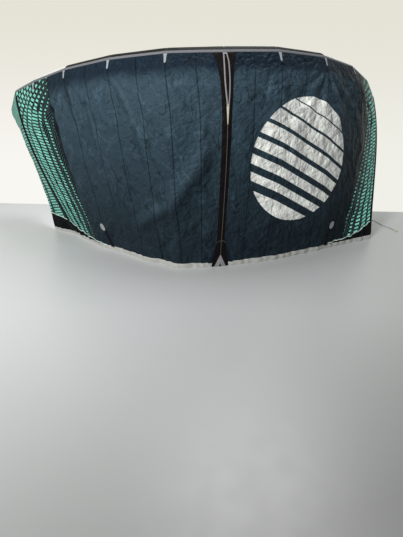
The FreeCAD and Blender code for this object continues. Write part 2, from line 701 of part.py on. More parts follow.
def make_inflate_valve(frame, envelope):
    """Pump valve: flange and neck with a seat, a sliding plunger, and a cap on a hinge pin."""
    reach, high = size("hinge_reach"), size("hinge_height")
    half = size("barrel_half") + size("ear_gap")
    radius, ear = size("barrel_radius"), size("ear_thick")
    ears = [box(f"ear_{n}", "2 * sheet.barrel_radius", "sheet.ear_thick",
                "sheet.hinge_height + sheet.barrel_radius - 1", moved(frame, reach - radius, y, 1))
            for n, y in enumerate((half, -half - ear))]
    body = valve_pad("inflate", frame, "sheet.neck_radius", "sheet.neck_height", envelope, *ears)
    seat_foot = size("plunger_thick") + 2 * size("plunger_gap")
    low = moved(frame, z=-size("pad_radius"))
    tools = [cylinder("valve_bore_low", "sheet.valve_bore", f"sheet.pad_radius + {seat_foot}", low),
             cylinder("valve_bore_high", "sheet.valve_bore", "sheet.neck_height",
                      moved(frame, z=seat_foot + size("seat_thick"))),
             cylinder("seat_hole", "sheet.seat_radius", "sheet.neck_height", frame),
             cylinder("ear_holes", "sheet.hinge_pin_radius", "sheet.neck_height * 2",
                      moved(frame, reach, size("neck_height"), high, Vector(1, 0, 0), 90))]
    keep(cut("inflate_valve_base", body, *tools))

    bottom = size("plunger_gap")
    disc = cylinder("plunger_disc", "sheet.plunger_radius", "sheet.plunger_thick", moved(frame, z=bottom))
    stem = cylinder("plunger_stem", "sheet.stem_radius", "sheet.stem_height", moved(frame, z=bottom))
    keep(fuse("inflate_valve_plunger", disc, stem))

    top = size("neck_height") + size("overlay_gap")
    cross = (Vector(1, 0, 0), 90)
    lid = cylinder("cap_lid", "sheet.cap_radius", "sheet.cap_thick", moved(frame, z=top))
    plug = cylinder("cap_plug", "sheet.plug_radius", "sheet.plug_depth + sheet.cap_thick",
                    moved(frame, z=top - size("plug_depth")))
    web = box("cap_web", "sheet.hinge_reach - sheet.plug_radius", "2 * sheet.barrel_half",
              "sheet.barrel_radius", moved(frame, size("plug_radius"), -size("barrel_half"), top))
    barrel = cylinder("cap_barrel", "sheet.barrel_radius", "2 * sheet.barrel_half",
                      moved(frame, reach, size("barrel_half"), high, *cross))
    hole = cylinder("cap_hole", "sheet.hinge_pin_radius + sheet.hinge_run", "4 * sheet.barrel_half",
                    moved(frame, reach, 2 * size("barrel_half"), high, *cross))
    keep(cut("inflate_valve_cap", fuse("cap_body", lid, plug, web, barrel), hole))

    pin_half = half + ear
    keep(cylinder("valve_hinge_pin", "sheet.hinge_pin_radius",
                  "2 * (sheet.barrel_half + sheet.ear_gap + sheet.ear_thick)",
                  moved(frame, reach, pin_half, high, *cross)))


def make_deflate_valve(frame, envelope):
    """Wide dump valve: flange with a short neck, and a bayonet cap that turns on it."""
    body = valve_pad("deflate", frame, "sheet.dump_radius", "sheet.dump_height", envelope)
    bore = cylinder("dump_bore_tool", "sheet.dump_bore", "sheet.pad_radius + sheet.dump_height * 2",
                    moved(frame, z=-size("pad_radius")))
    keep(cut("deflate_valve_base", body, bore))
    top = size("dump_height") + size("dump_run")
    skirt = moved(frame, z=top - size("dump_skirt_depth"))
    outside = cylinder("dump_outside", "sheet.dump_radius + sheet.dump_run + sheet.dump_skirt",
                       "sheet.dump_skirt_depth + sheet.dump_top", skirt)
    grip = box("dump_grip", "2 * sheet.dump_radius", "sheet.dump_skirt", "sheet.dump_top",
               moved(frame, -size("dump_radius"), -size("dump_skirt") / 2, top + size("dump_top")))
    inside = cylinder("dump_inside", "sheet.dump_radius + sheet.dump_run",
                      "sheet.dump_skirt_depth", skirt)
    keep(cut("deflate_valve_cap", fuse("dump_body", outside, grip), inside))


# ---------------------------------------------------------------- air transfer tube and clamp
def transfer_route():
    """From the tube's axis down beside the strut, then across into the strut."""
    frame = strut_frame(size("transfer_chord"))
    into = frame.Base
    across = frame.Rotation.multVec(Vector(0, 1, 0))
    if across.x < 0:
        across = -across
    corner = into + across * size("transfer_reach")
    a, b = RINGS["right"][0], RINGS["right"][1]
    start = mix(a.centre, b.centre, size("transfer_reach") / (b.centre - a.centre).Length)
    return start, corner, into


def tube_along(points, radius, bend):
    """Round bar along two straight runs with one tangent arc."""
    start, corner, end = points
    back, on = unit(start - corner), unit(end - corner)
    half = back.getAngle(on) / 2
    reach = bend / math.tan(half)
    first, last = corner + back * reach, corner + on * reach
    centre = corner + unit(back + on) * (bend / math.sin(half))
    middle = centre + unit(corner - centre) * bend
    wire = Part.Wire([Part.LineSegment(start, first).toShape(), Part.Arc(first, middle, last).toShape(),
                      Part.LineSegment(last, end).toShape()])
    section = Part.Wire(Part.Circle(start, corner - start, radius).toShape())
    return wire.makePipeShell([section], True, False)


def make_transfer_tube(tube_envelope, strut_envelope):
    """Moulded elbow that lets air from the leading edge into the strut, with a slide clamp."""
    route = transfer_route()
    outer = feature("transfer_outer", tube_along(route, size("transfer_radius"), size("transfer_bend")))
    inner = feature("transfer_inner", tube_along(route, size("transfer_bore"), size("transfer_bend")))
    keep(cut("transfer_tube", outer, inner, tube_envelope, strut_envelope))

    start, corner, _ = route
    run = unit(corner - start)
    tube_radius = size("tube_radius_0")
    place = start + run * (tube_radius + size("clamp_height"))
    away = RINGS["right"][0].out * -1
    frame = frame_at(place, run, away)
    half, gap = size("clamp_half"), size("slide_gap")
    shell = box("clamp_shell", "sheet.clamp_half + sheet.clamp_front", "2 * sheet.clamp_half",
                "sheet.clamp_height", moved(frame, -half, -half, 0))
    bore = cylinder("clamp_bore", "sheet.transfer_radius + sheet.clamp_run", "sheet.clamp_height", frame)
    lift = (size("clamp_height") - size("slider_width")) / 2
    slot = box("clamp_slot", "sheet.slider_thick + 2 * sheet.slide_gap", "4 * sheet.clamp_half",
               "sheet.slider_width + 2 * sheet.slide_gap",
               moved(frame, size("slider_place") - gap, -2 * half, lift - gap))
    keep(cut("transfer_clamp", shell, bore, slot))
    slider = box("clamp_slider", "sheet.slider_thick", "sheet.slider_length", "sheet.slider_width",
                 moved(frame, size("slider_place"), -size("slider_length") / 2, lift))
    keep(slider)


# ---------------------------------------------------------------- bridle tabs and pigtails
def make_bridle_tabs(envelope):
    """Webbing tabs with eyelets under the leading edge, where the bridle is tied on."""
    tabs = []
    for side in SIDES:
        for n, station in enumerate(BRIDLE_STATIONS, 1):
            name, frame = f"bridle_{side}_{n}", tube_frame(side, station, BRIDLE_ANGLE)
            sink = size("pad_height")
            plate = box(f"{name}_plate", "sheet.bridle_width", "sheet.webbing",
                        "sheet.bridle_reach + sheet.pad_height",
                        moved(frame, -size("bridle_width") / 2, -size("webbing") / 2, -sink))
            foot = cylinder(f"{name}_foot", "sheet.bridle_width / 2 + sheet.webbing",
                            "sheet.webbing + sheet.pad_height", moved(frame, z=-sink))
            eye = cylinder(f"{name}_eye", "sheet.bridle_eye", "4 * sheet.webbing",
                           moved(frame, 0, 2 * size("webbing"), size("bridle_reach") - 2 * size("bridle_eye"),
                                 Vector(1, 0, 0), 90))
            tabs.append(cut(name, fuse(f"{name}_tab", plate, foot), envelope, eye))
    group = doc.addObject("Part::Compound", "bridle_tabs")
    group.Links = tabs
    keep(group)


def anchor_frame(side):
    """At the tip corner: X away from the cloth, halfway between its two edges, and Z outwards."""
    rib, inner = RIBS[side][TIP], RIBS[side][5.5]
    corner = rib.point(1)
    chord, edge = unit(rib.point(0.9) - corner), unit(inner.point(1) - corner)
    plane = unit(chord.cross(edge))
    if plane.dot(rib.out_foot) < 0:
        plane = -plane
    return frame_at(corner + plane * (size("band_proud") + size("overlay_gap")), plane, -chord - edge)


def make_anchors():
    """Webbing tongues at the tip corners that carry the pigtails."""
    tongues = []
    for side in SIDES:
        frame = anchor_frame(side)
        over = size("anchor_length") - size("anchor_reach")
        plate = box(f"anchor_{side}_plate", "sheet.anchor_length", "sheet.anchor_width", "sheet.webbing",
                    moved(frame, -over, -size("anchor_width") / 2, 0))
        eye = cylinder(f"anchor_{side}_eye", "sheet.anchor_eye", "4 * sheet.webbing",
                       moved(frame, size("anchor_reach") / 2, 0, -size("webbing")))
        tongues.append(cut(f"anchor_{side}", plate, eye))
    group = doc.addObject("Part::Compound", "pigtail_anchors")
    group.Links = tongues
    keep(group)


def rounded_route(points):
    """Straight runs joined by tangent arcs as large as their shorter run allows."""
    edges, radii, at = [], [], points[0]
    for before, corner, after in zip(points, points[1:], points[2:]):
        back, on = before - corner, after - corner
        reach = 0.45 * min(back.Length, on.Length)
        half = (math.pi - back.getAngle(on)) / 2
        radius = reach / math.tan(half)
        first, last = corner + unit(back) * reach, corner + unit(on) * reach
        inward = unit(unit(back) + unit(on))
        middle = corner + inward * (radius / math.cos(half) - radius)
        edges += [Part.LineSegment(at, first).toShape(), Part.Arc(first, middle, last).toShape()]
        radii.append(round(radius))
        at = last
    edges.append(Part.LineSegment(at, points[-1]).toShape())
    return Part.Wire(edges), radii


def make_pigtail():
    """The right tip's pigtail: a sheathed cord from its anchor to a round end knot."""
    reach, middle = size("anchor_reach"), size("webbing") / 2
    start, leaving = (anchor_frame("right").multVec(Vector(reach + run, 0, middle))
                      for run in (0, PIGTAIL_EXIT))
    points = [start, leaving] + [Vector(*place) for place in PIGTAIL_ROUTE]
    route, radii = rounded_route(points)
    section = Part.Wire(Part.Circle(start, points[1] - start, size("cord_radius")).toShape())
    cord = route.makePipeShell([section], True, False)
    print("pigtail radii", radii, f"length {route.Length:.0f}",
          f"volume ratio {cord.Volume / (math.pi * size('cord_radius') ** 2 * route.Length):.4f}")
    keep(feature("pigtail_cord", cord))
    last = points[-1] - points[-2]
    bar = cylinder("knot_bar", "sheet.knot_radius", "sheet.knot_length", frame_at(points[-1], last, UP))
    knot = doc.addObject("Part::Fillet", "pigtail_knot")
    knot.Base = bar
    doc.recompute()
    knot.Edges = [(n, size("knot_round"), size("knot_round")) for n, edge in enumerate(bar.Shape.Edges, 1)
                  if edge.Closed and isinstance(edge.Curve, Part.Circle)]
    keep(knot)


def main():
    inflate, deflate = (tube_frame(*VALVES[name], VALVE_ANGLE) for name in ("inflate", "deflate"))
    depth = size("pad_radius")
    holes = {"right": cylinder("inflate_hole", "sheet.valve_bore", "2 * sheet.pad_radius",
                               moved(inflate, z=-depth)),
             "left": cylinder("deflate_hole", "sheet.dump_bore", "2 * sheet.pad_radius",
                              moved(deflate, z=-depth))}
    make_tube(holes)
    envelope = whole_tube("tube_envelope", "+ sheet.overlay_gap")
    make_strut(whole_tube("centre_envelope", "+ sheet.overlay_gap", reach=1))
    make_canopy()
    make_edge_tapes()
    make_centre_patches()
    make_seam_tabs()
    make_battens()
    make_inflate_valve(inflate, envelope)
    make_deflate_valve(deflate, envelope)
    strut_envelope = strut_loft("strut_envelope", size("strut_front_chord"), size("strut_end_chord"),
                                "+ sheet.overlay_gap")
    make_transfer_tube(envelope, strut_envelope)
    make_bridle_tabs(envelope)
    make_anchors()
    make_pigtail()


def export():
    """Recompute, refuse any failed object, and write one file per sub-part."""
    doc.recompute()
    failed = [obj.Name for obj in doc.Objects if {"Invalid", "Error"} & set(obj.State)]
    if failed:
        raise RuntimeError(f"failed objects: {failed}")
    os.makedirs("parts", exist_ok=True)
    for obj in SUBPARTS:
        shape = obj.Shape
        if shape.isNull() or not shape.isValid():
            raise RuntimeError(f"{obj.Label} has no valid shape")
        print(f"{obj.Label:24} {len(shape.Solids):3} solids {shape.Volume / 1000:10.1f} cm3")
    for obj in SUBPARTS:
        obj.Shape.exportStep(f"parts/{obj.Label}.step")
    print(len(SUBPARTS), "sub-parts")


main()
export()
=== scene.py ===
# %% [markdown]
# # A single-strut inflatable kite, standing on its trailing edge
#
# The kite is a tapered tube bent into a bow, with a sheet of thin cloth sewn along it and one strut
# in the middle.  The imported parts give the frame: where the tube, the strut, the valves and the
# trailing edge are.  This lesson dresses that frame.  Everything soft is made again as cloth that
# creases and puckers, and everything hard keeps its own mesh and gets a better finish.

import functools
import math

import bmesh
import bpy
from mathutils import Matrix, Vector, noise


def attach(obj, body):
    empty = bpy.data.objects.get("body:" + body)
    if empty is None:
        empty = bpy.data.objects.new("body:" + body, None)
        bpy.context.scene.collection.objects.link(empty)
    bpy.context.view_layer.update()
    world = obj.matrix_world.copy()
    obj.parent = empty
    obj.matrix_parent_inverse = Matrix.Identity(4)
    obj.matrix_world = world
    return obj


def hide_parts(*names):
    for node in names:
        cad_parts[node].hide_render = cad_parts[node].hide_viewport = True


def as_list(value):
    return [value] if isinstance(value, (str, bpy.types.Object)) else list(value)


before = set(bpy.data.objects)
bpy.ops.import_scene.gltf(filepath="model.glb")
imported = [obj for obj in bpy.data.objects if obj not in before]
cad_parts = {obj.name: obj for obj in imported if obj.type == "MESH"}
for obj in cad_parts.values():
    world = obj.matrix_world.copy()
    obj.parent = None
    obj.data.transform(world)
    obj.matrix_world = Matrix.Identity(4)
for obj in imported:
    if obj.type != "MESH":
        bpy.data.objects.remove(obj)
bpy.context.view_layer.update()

# %% [markdown]
# ## Camera
#
# The camera stands at eye height, a good three metres in front of the cloth, and looks down at it.
# A lens can be given as an angle or as a focal length.  The focal length is used here, as a share
# of the picture's long side, because Blender measures its sensor along that side.  It is as long
# as the picture is wide.

# %% Camera
PICTURE = (403, 537)
FOCAL_SHARE = PICTURE[0] / PICTURE[1]
EYE, LOOK_DOWN = (-0.158, -3.278, 1.56), 26
camera_data = bpy.data.cameras.new("camera")
camera_data.lens = camera_data.sensor_width * FOCAL_SHARE
camera = bpy.data.objects.new("camera", camera_data)
camera.location = EYE
camera.rotation_euler = (math.radians(90 - LOOK_DOWN), 0, 0)
bpy.context.scene.collection.objects.link(camera)
bpy.context.scene.camera = camera
print("lens", round(camera_data.lens, 2), "mm for a picture of", PICTURE)

# %% [markdown]
# ## Shader arithmetic
#
# A pattern such as a herringbone is a small sum on the cloth's coordinates.  It could be wired by
# hand, one Math node at a time.  A class that wraps a socket and overloads Python's operators
# writes the same nodes from an expression, so the sum can be read.


# %% A socket that takes part in sums
class Wire:
    """An output socket.  Each operator adds one Math node and gives its output back."""

    def __init__(self, finish, socket):
        self.finish, self.socket = finish, socket

    def math(self, operation, *values):
        return self.finish.node("ShaderNodeMath", {"operation": operation}, dict(enumerate(values)))

    def __add__(self, other):
        return self.math("ADD", self, other)

    __radd__ = __add__

    def __sub__(self, other):
        return self.math("SUBTRACT", self, other)

    def __rsub__(self, other):
        return self.math("SUBTRACT", other, self)

    def __mul__(self, other):
        return self.math("MULTIPLY", self, other)

    __rmul__ = __mul__

    def __truediv__(self, other):
        return self.math("DIVIDE", self, other)

    def __lt__(self, other):
        return self.math("LESS_THAN", self, other)

    def __gt__(self, other):
        return self.math("GREATER_THAN", self, other)

    def __abs__(self):
        return self.math("ABSOLUTE", self)

    def fract(self):
        return self.math("FRACT", self)

    def sine(self):
        return self.math("SINE", self)

    def larger(self, other):
        return self.math("MAXIMUM", self, other)

    def smaller(self, other):
        return self.math("MINIMUM", self, other)

    def ramp(self, low, high):
        """0 below low, 1 above high and smooth between them."""
        return self.finish.node("ShaderNodeMapRange", {"interpolation_type": "SMOOTHSTEP"},
                                {0: self, 1: low, 2: high})


# %% [markdown]
# ## Finishes
#
# Each finish is one Principled shader.  What is the same all over, such as sheen, is set on its
# sockets.  What changes over the surface, such as colour and creases, comes through nodes.  Heights
# are in metres, so a bump has the slope that the real crease would have.


# %% The finish class
def display(red, green, blue):
    """A colour as a screen shows it, 0 to 255, turned into the linear light that shaders use."""
    shares = (red / 255, green / 255, blue / 255)
    return (*(c / 12.92 if c <= 0.04045 else ((c + 0.055) / 1.055) ** 2.4 for c in shares), 1.0)


class Finish:
    """A material and the few nodes that every finish here is made from."""

    def __init__(self, name, slot, **constants):
        self.slot = slot
        self.material = bpy.data.materials.new(name)
        self.material.use_nodes = True
        self.tree = self.material.node_tree
        self.shader = self.tree.nodes["Principled BSDF"]
        for socket, value in constants.items():
            self.shader.inputs[socket.replace("_", " ")].default_value = value

    def feed(self, socket, value):
        if isinstance(value, Wire):
            self.tree.links.new(value.socket, socket)
        else:
            socket.default_value = value[:3] if socket.type == "VECTOR" else value

    def node(self, kind, settings=None, sockets=None, output=0):
        """Adds any node: its settings first, then the value or link of each socket."""
        made = self.tree.nodes.new(kind)
        for setting, value in (settings or {}).items():
            setattr(made, setting, value)
        for socket, value in (sockets or {}).items():
            self.feed(made.inputs[socket], value)
        return Wire(self, made.outputs[output])

    def split(self, vector):
        first = self.node("ShaderNodeSeparateXYZ", sockets={0: vector})
        return [Wire(self, socket) for socket in first.socket.node.outputs]

    def space(self):
        return self.node("ShaderNodeTexCoord", output="Object")

    def cloth_place(self):
        """Metres across and along the piece, from its own UV map."""
        return self.split(self.node("ShaderNodeUVMap", {"uv_map": "cloth"}))[:2]

    def join(self, x, y, z=0.0):
        return self.node("ShaderNodeCombineXYZ", sockets={0: x, 1: y, 2: z})

    def stretch(self, vector, scale):
        return self.node("ShaderNodeMapping", sockets={"Vector": vector, "Scale": scale})

    def grain(self, vector, scale, detail=2.0):
        return self.node("ShaderNodeTexNoise", sockets={"Vector": vector, "Scale": scale, "Detail": detail})

    def cells(self, vector, scale):
        """Distance to the nearest edge of a pattern of cells."""
        return self.node("ShaderNodeTexVoronoi", {"feature": "DISTANCE_TO_EDGE"},
                         {"Vector": vector, "Scale": scale})

    def mix(self, factor, first, second):
        return self.node("ShaderNodeMix", {"data_type": "RGBA"}, {0: factor, 6: first, 7: second}, 2)

    def shade(self, colour, amount):
        """A colour made darker or lighter by a factor."""
        return self.node("ShaderNodeVectorMath", {"operation": "SCALE"}, {0: colour, "Scale": amount})

    def warp(self, vector, scale, amount):
        """Moves a place about by noise, so that straight patterns wander."""
        drift = self.node("ShaderNodeTexNoise", sockets={"Vector": vector, "Scale": scale}, output=1)
        drift = self.node("ShaderNodeVectorMath", {"operation": "SUBTRACT"}, {0: drift, 1: (0.5, 0.5, 0.5)})
        drift = self.node("ShaderNodeVectorMath", {"operation": "SCALE"}, {0: drift, "Scale": amount})
        return self.node("ShaderNodeVectorMath", {"operation": "ADD"}, {0: vector, 1: drift})

    def surface(self, colour=None, roughness=None, height=None):
        """Links what changes over the surface; a height in metres goes through one Bump node."""
        for name, value in (("Base Color", colour), ("Roughness", roughness)):
            if value is not None:
                self.feed(self.shader.inputs[name], value)
        if height is not None:
            bump = self.node("ShaderNodeBump", sockets={"Strength": 1.0, "Distance": 1.0, "Height": height})
            self.feed(self.shader.inputs["Normal"], bump)
        return self


# %% [markdown]
# ## Floor, wall and light
#
# The floor is a pale, slightly glossy slab that ends a little askew, and behind it stands an
# off-white wall that glows, with painted light on it: paler low down and on the left, darker towards
# the top.  The wall only shows itself to the camera from its front: it throws no shadow and
# no light, so it doesn't hide the kite from behind.  Two large soft lamps stand for the windows of a
# bright room, and painted light makes the floor a little paler on their side.

# %% Floor and wall
WALL_WHITE = display(238, 236, 227)
WALL_PLACE, WALL_LOW = 1.95, -1.0
FLOOR_REACH, FLOOR_END, FLOOR_SKEW, FLOOR_DROP = 14, 1.686, math.radians(-4.2), .0005


def stage_plane(name, matrix, material):
    mesh = bmesh.new()
    bmesh.ops.create_grid(mesh, x_segments=1, y_segments=1, size=FLOOR_REACH, matrix=matrix)
    data = bpy.data.meshes.new(name)
    mesh.to_mesh(data)
    mesh.free()
    data.materials.append(material)
    plane = bpy.data.objects.new(name, data)
    bpy.context.scene.collection.objects.link(plane)
    return plane


floor = Finish("floor_paint", None, Specular_IOR_Level=0.7)
clouds = floor.grain(floor.space(), 0.7, 3.0)
x, y = floor.split(floor.space())[:2]
# Painted light from the windows: the floor is paler towards them, along its depth in two slopes, and across
# it in one.
painted_window_light = ((1.62 + y * 0.457).smaller(1.46 + y * 0.25) - x * 0.17).larger(0.50).smaller(2.10)
floor.surface(colour=floor.shade(display(156, 158, 158), (0.96 + clouds * 0.08) * painted_window_light),
              roughness=0.30 + floor.grain(floor.space(), 9.0) * 0.12)
stage_plane("floor", Matrix.Rotation(FLOOR_SKEW, 4, "Z")
            @ Matrix.Translation((0, FLOOR_END - FLOOR_REACH, -FLOOR_DROP)), floor.material)

wall = Finish("wall_paint", None)
x, y, z = wall.split(wall.space())
# Painted light: the glowing wall is paler low down on the left and darker towards the top.
low_wall_painted_light = wall.mix((x * 0.3 + 0.5).ramp(0.0, 1.0), display(249, 247, 242), display(240, 240, 232))
wall_painted_light = wall.mix(z.ramp(0.3, 2.3), low_wall_painted_light, display(229, 226, 214))
light = wall.node("ShaderNodeEmission", sockets={"Color": wall_painted_light, "Strength": 1.0})
clear = wall.node("ShaderNodeBsdfTransparent")
# Seen from behind, the wall is clear.
back = wall.node("ShaderNodeNewGeometry", output="Backfacing")
seen = wall.node("ShaderNodeMixShader", sockets={0: back, 1: light, 2: clear})
wall.feed(wall.tree.nodes["Material Output"].inputs["Surface"], seen)
wall_plane = stage_plane("wall", Matrix.Translation((0, WALL_PLACE, FLOOR_REACH + WALL_LOW))
                         @ Matrix.Rotation(math.radians(90), 4, "X"), wall.material)
for ray in ("diffuse", "glossy", "transmission", "volume_scatter", "shadow"):
    setattr(wall_plane, f"visible_{ray}", False)

# %% World and lamps
scene = bpy.context.scene
scene.view_settings.view_transform = "Standard"
world = bpy.data.worlds.new("room")
world.use_nodes = True
scene.world = world
nodes, links = world.node_tree.nodes, world.node_tree.links
nodes.clear()
path = nodes.new("ShaderNodeLightPath")
seen_ray = nodes.new("ShaderNodeMath")
seen_ray.operation = "MAXIMUM"
links.new(path.outputs["Is Camera Ray"], seen_ray.inputs[0])
mirrored = nodes.new("ShaderNodeMath")
mirrored.operation = "MAXIMUM"
links.new(path.outputs["Is Transmission Ray"], mirrored.inputs[0])
links.new(path.outputs["Is Glossy Ray"], mirrored.inputs[1])
links.new(mirrored.outputs[0], seen_ray.inputs[1])
rooms = []
# A dim cool room lights the cloth, while the camera and mirrored rays see the white of the wall.
for colour, strength in ((display(232, 236, 240), 0.36), (WALL_WHITE, 1.0)):
    room = nodes.new("ShaderNodeBackground")
    room.inputs["Color"].default_value, room.inputs["Strength"].default_value = colour, strength
    rooms.append(room)
choice = nodes.new("ShaderNodeMixShader")
links.new(seen_ray.outputs[0], choice.inputs[0])
for socket, room in zip((1, 2), rooms):
    links.new(room.outputs[0], choice.inputs[socket])
links.new(choice.outputs[0], nodes.new("ShaderNodeOutputWorld").inputs["Surface"])


def soft_lamp(name, place, target, size, power, colour):
    """A round area lamp, size metres across, that looks at its target."""
    data = bpy.data.lights.new(name, "AREA")
    data.shape, data.size, data.energy, data.color = "DISK", size, power, colour
    lamp = bpy.data.objects.new(name, data)
    lamp.location = place
    lamp.rotation_euler = (Vector(target) - Vector(place)).to_track_quat("-Z", "Y").to_euler()
    scene.collection.objects.link(lamp)


LAMPS = (("window", (-2.7, -3.9, 3.6), (0, 0.2, 0.9), 1.4, 305, (1.0, 0.99, 0.97)),
         ("ceiling", (0.6, 1.2, 4.8), (0, 0.4, 0.6), 3.0, 120, (1.0, 1.0, 1.0)))
for lamp_sizes in LAMPS:
    soft_lamp(*lamp_sizes)
print("lamps:", len(LAMPS))

# %% [markdown]
# ## The pigtail
#
# A thin sheathed cord is knotted to the right tip, hangs down behind the cloth and lies on the
# floor beside it.  A cord could be a swept tube or a curve with a bevel.  A NURBS curve with a
# bevel is used: its few control points are pulled into one smooth line, as a limp cord lies.
# Its knot is three turns of the same cord, a helix worked out by a loop.

# %% Cord and knot
CORD_RADIUS, KNOT_CORD_RADIUS = .0025, .0028
PIGTAIL_ROUTE = (
    (1.646719, 1.419232, 0.559214), (1.647811, 1.437841, 0.547532),
    (1.627, 1.449, .520), (1.625, 1.454, .468), (1.628, 1.445, .408), (1.633, 1.433, .350),
    (1.637, 1.420, .295), (1.641, 1.405, .240), (1.647, 1.387, .184), (1.656, 1.368, .130),
    (1.671, 1.346, .078), (1.696, 1.321, .034), (1.732, 1.292, .007), (1.776, 1.264, .0028),
    (1.818, 1.232, .0028), (1.846, 1.186, .0028), (1.864, 1.134, .0028), (1.872, 1.078, .0028),
    (1.886, 1.022, .0028), (1.914, .974, .0028), (1.938, .922, .0028), (1.950, .874, .0034),
    (1.957, .842, .0071))


def soft_line(name, points, radius, finish):
    """A NURBS curve with a round bevel, through few control points."""
    curve = bpy.data.curves.new(name, "CURVE")
    curve.dimensions = "3D"
    curve.resolution_u, curve.bevel_resolution = 12, 3
    curve.bevel_depth, curve.use_fill_caps = radius, True
    spline = curve.splines.new("NURBS")
    spline.points.add(len(points) - 1)
    for point, place in zip(spline.points, points):
        point.co = (*place, 1.0)
    spline.order_u, spline.use_endpoint_u = 3, True
    curve.materials.append(finish.material)
    line = bpy.data.objects.new(name, curve)
    scene.collection.objects.link(line)
    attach(line, "kite")
    return line


def braid_finish(name, slot, light_tone, dark_tone):
    """Braided sheath: two helices of threads, told apart by fine noise."""
    finish = Finish(name, slot, Roughness=0.75, Sheen_Weight=0.25)
    threads = finish.grain(finish.space(), 900.0, 1.0)
    patches = finish.grain(finish.space(), 40.0, 2.0)
    finish.surface(colour=finish.mix(patches.ramp(0.4, 0.65), light_tone, dark_tone), height=threads * 0.0004)
    return finish


cord_finish = braid_finish("cord_sheath", "cord_grey", display(150, 150, 142), display(84, 84, 80))
knot_finish = braid_finish("knot_sheath", "knot_straw", display(214, 206, 150), display(160, 146, 84))
cord = soft_line("pigtail_cord_line", PIGTAIL_ROUTE, CORD_RADIUS, cord_finish)
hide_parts("pigtail_cord")

knot_start, knot_end = Vector(PIGTAIL_ROUTE[-1]), Vector((1.9642, .8142, .0148))
along = (knot_end - knot_start).normalized()
side = along.cross(Vector((0, 0, 1))).normalized()
lift = side.cross(along)
KNOT_TURNS, TURN_POINTS, TURN_RADIUS = 3, 12, .0040
KNOT_LEAD, KNOT_HEIGHT, KNOT_LENGTH = .0045, .019, .030
knot_points = [knot_start]
for n in range(KNOT_TURNS * TURN_POINTS + 1):
    angle = 2 * math.pi * n / TURN_POINTS
    rise = KNOT_LEAD + KNOT_HEIGHT * n / (KNOT_TURNS * TURN_POINTS)
    knot_points.append(knot_start + along * rise
                       + (side * math.cos(angle) + lift * math.sin(angle)) * TURN_RADIUS)
knot_points.append(knot_start + along * KNOT_LENGTH)
knot = soft_line("pigtail_knot_turns", knot_points, KNOT_CORD_RADIUS, knot_finish)
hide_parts("pigtail_knot")
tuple(PIGTAIL_ROUTE[0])

# %% [markdown]
# ## The kite's shape
#
# The tube is a chain of straight tapered segments that turns and sinks from the centre to each tip.
# The cloth hangs from it on ribs, and each rib is one cubic curve from the seam on the tube to the
# trailing edge.  A place on the cloth is therefore two numbers: a station, which counts segments
# from the centre and is negative on the left, and a share of the chord.

# %% Driving sizes, in metres and degrees
TUBE_RADII = (.082, .080, .075, .068, .060, .051, .036)
SEGMENT_LENGTHS = (.410, .465, .505, .468, .355, .440)
HEADINGS = {-1: (0, 21, 32, 35, 38.2, 55.5), 1: (17, 31, 45, 51, 58.4, 98)}
DROPS = {-1: (1, 4, 7, 11, 14, 23.4), 1: (-1, 3.5, 7.5, 14, 16, 34)}
SEAM_ANGLES = {-1: (30, 30, 27, 23, 16, 11, 0), 1: (30, 30, 30, 33, 24.1, 18.3, 4)}
EDGE_RUNS = {-1: (.370, .434, .469, .317, .205, .301), 1: (.468, .520, .262, .276, .207, .250)}
EDGE_HEADINGS = {-1: (-6.4, 31.1, 33.2, 42.4, 45.8, 30.3), 1: (15.9, 23.6, 28.4, 25.3, 23.4, 74)}
EDGE_FLARES = {-1: (.22, .22, .22, .22, .35, .48, -.06, .02), 1: (.22, .22, .22, .22, .04, -.15, -.08, -.05)}
TIP_CHORDS = {-1: (.660, 160, 68), 1: (.665, -84, 53)}
TUBE_START = Vector((0, .100, 1.646))
FRONT_PULL, BACK_PULL = 0.30, 0.35
CLOTH, SEAM_GAP, STRUT_GAP = .002, .0004, .0007
STRUT_FRONT_RADIUS, STRUT_FOOT_RADIUS = .048, .027
CASING_BELLY, CASING_SAG = .0016, .0008
TIP = 6
SIDES = ((-1, "left"), (1, "right"))
UP = Vector((0, 0, 1))


# %% Small helpers
def mix(a, b, t):
    return a * (1 - t) + b * t


def smooth(low, high, x):
    t = min(max((x - low) / (high - low), 0.0), 1.0)
    return t * t * (3 - 2 * t)


def step(sign, run, heading, drop=0.0):
    turn, fall = math.radians(heading), math.radians(drop)
    flat = math.cos(fall)
    return Vector((sign * flat * math.cos(turn), flat * math.sin(turn), -math.sin(fall))) * run


# %% Rings of the tube and ribs of the cloth
class Ring:
    """Cross-section of the tube in the mitre plane of two segments."""

    def __init__(self, sign, centre, normal, radius):
        self.centre, self.normal, self.radius = centre, normal.normalized(), radius
        self.up = (UP - self.normal * self.normal.z).normalized()
        self.out = self.up.cross(self.normal).normalized() * -sign

    def radial(self, degrees):
        angle = math.radians(degrees)
        return self.out * math.cos(angle) + self.up * math.sin(angle)


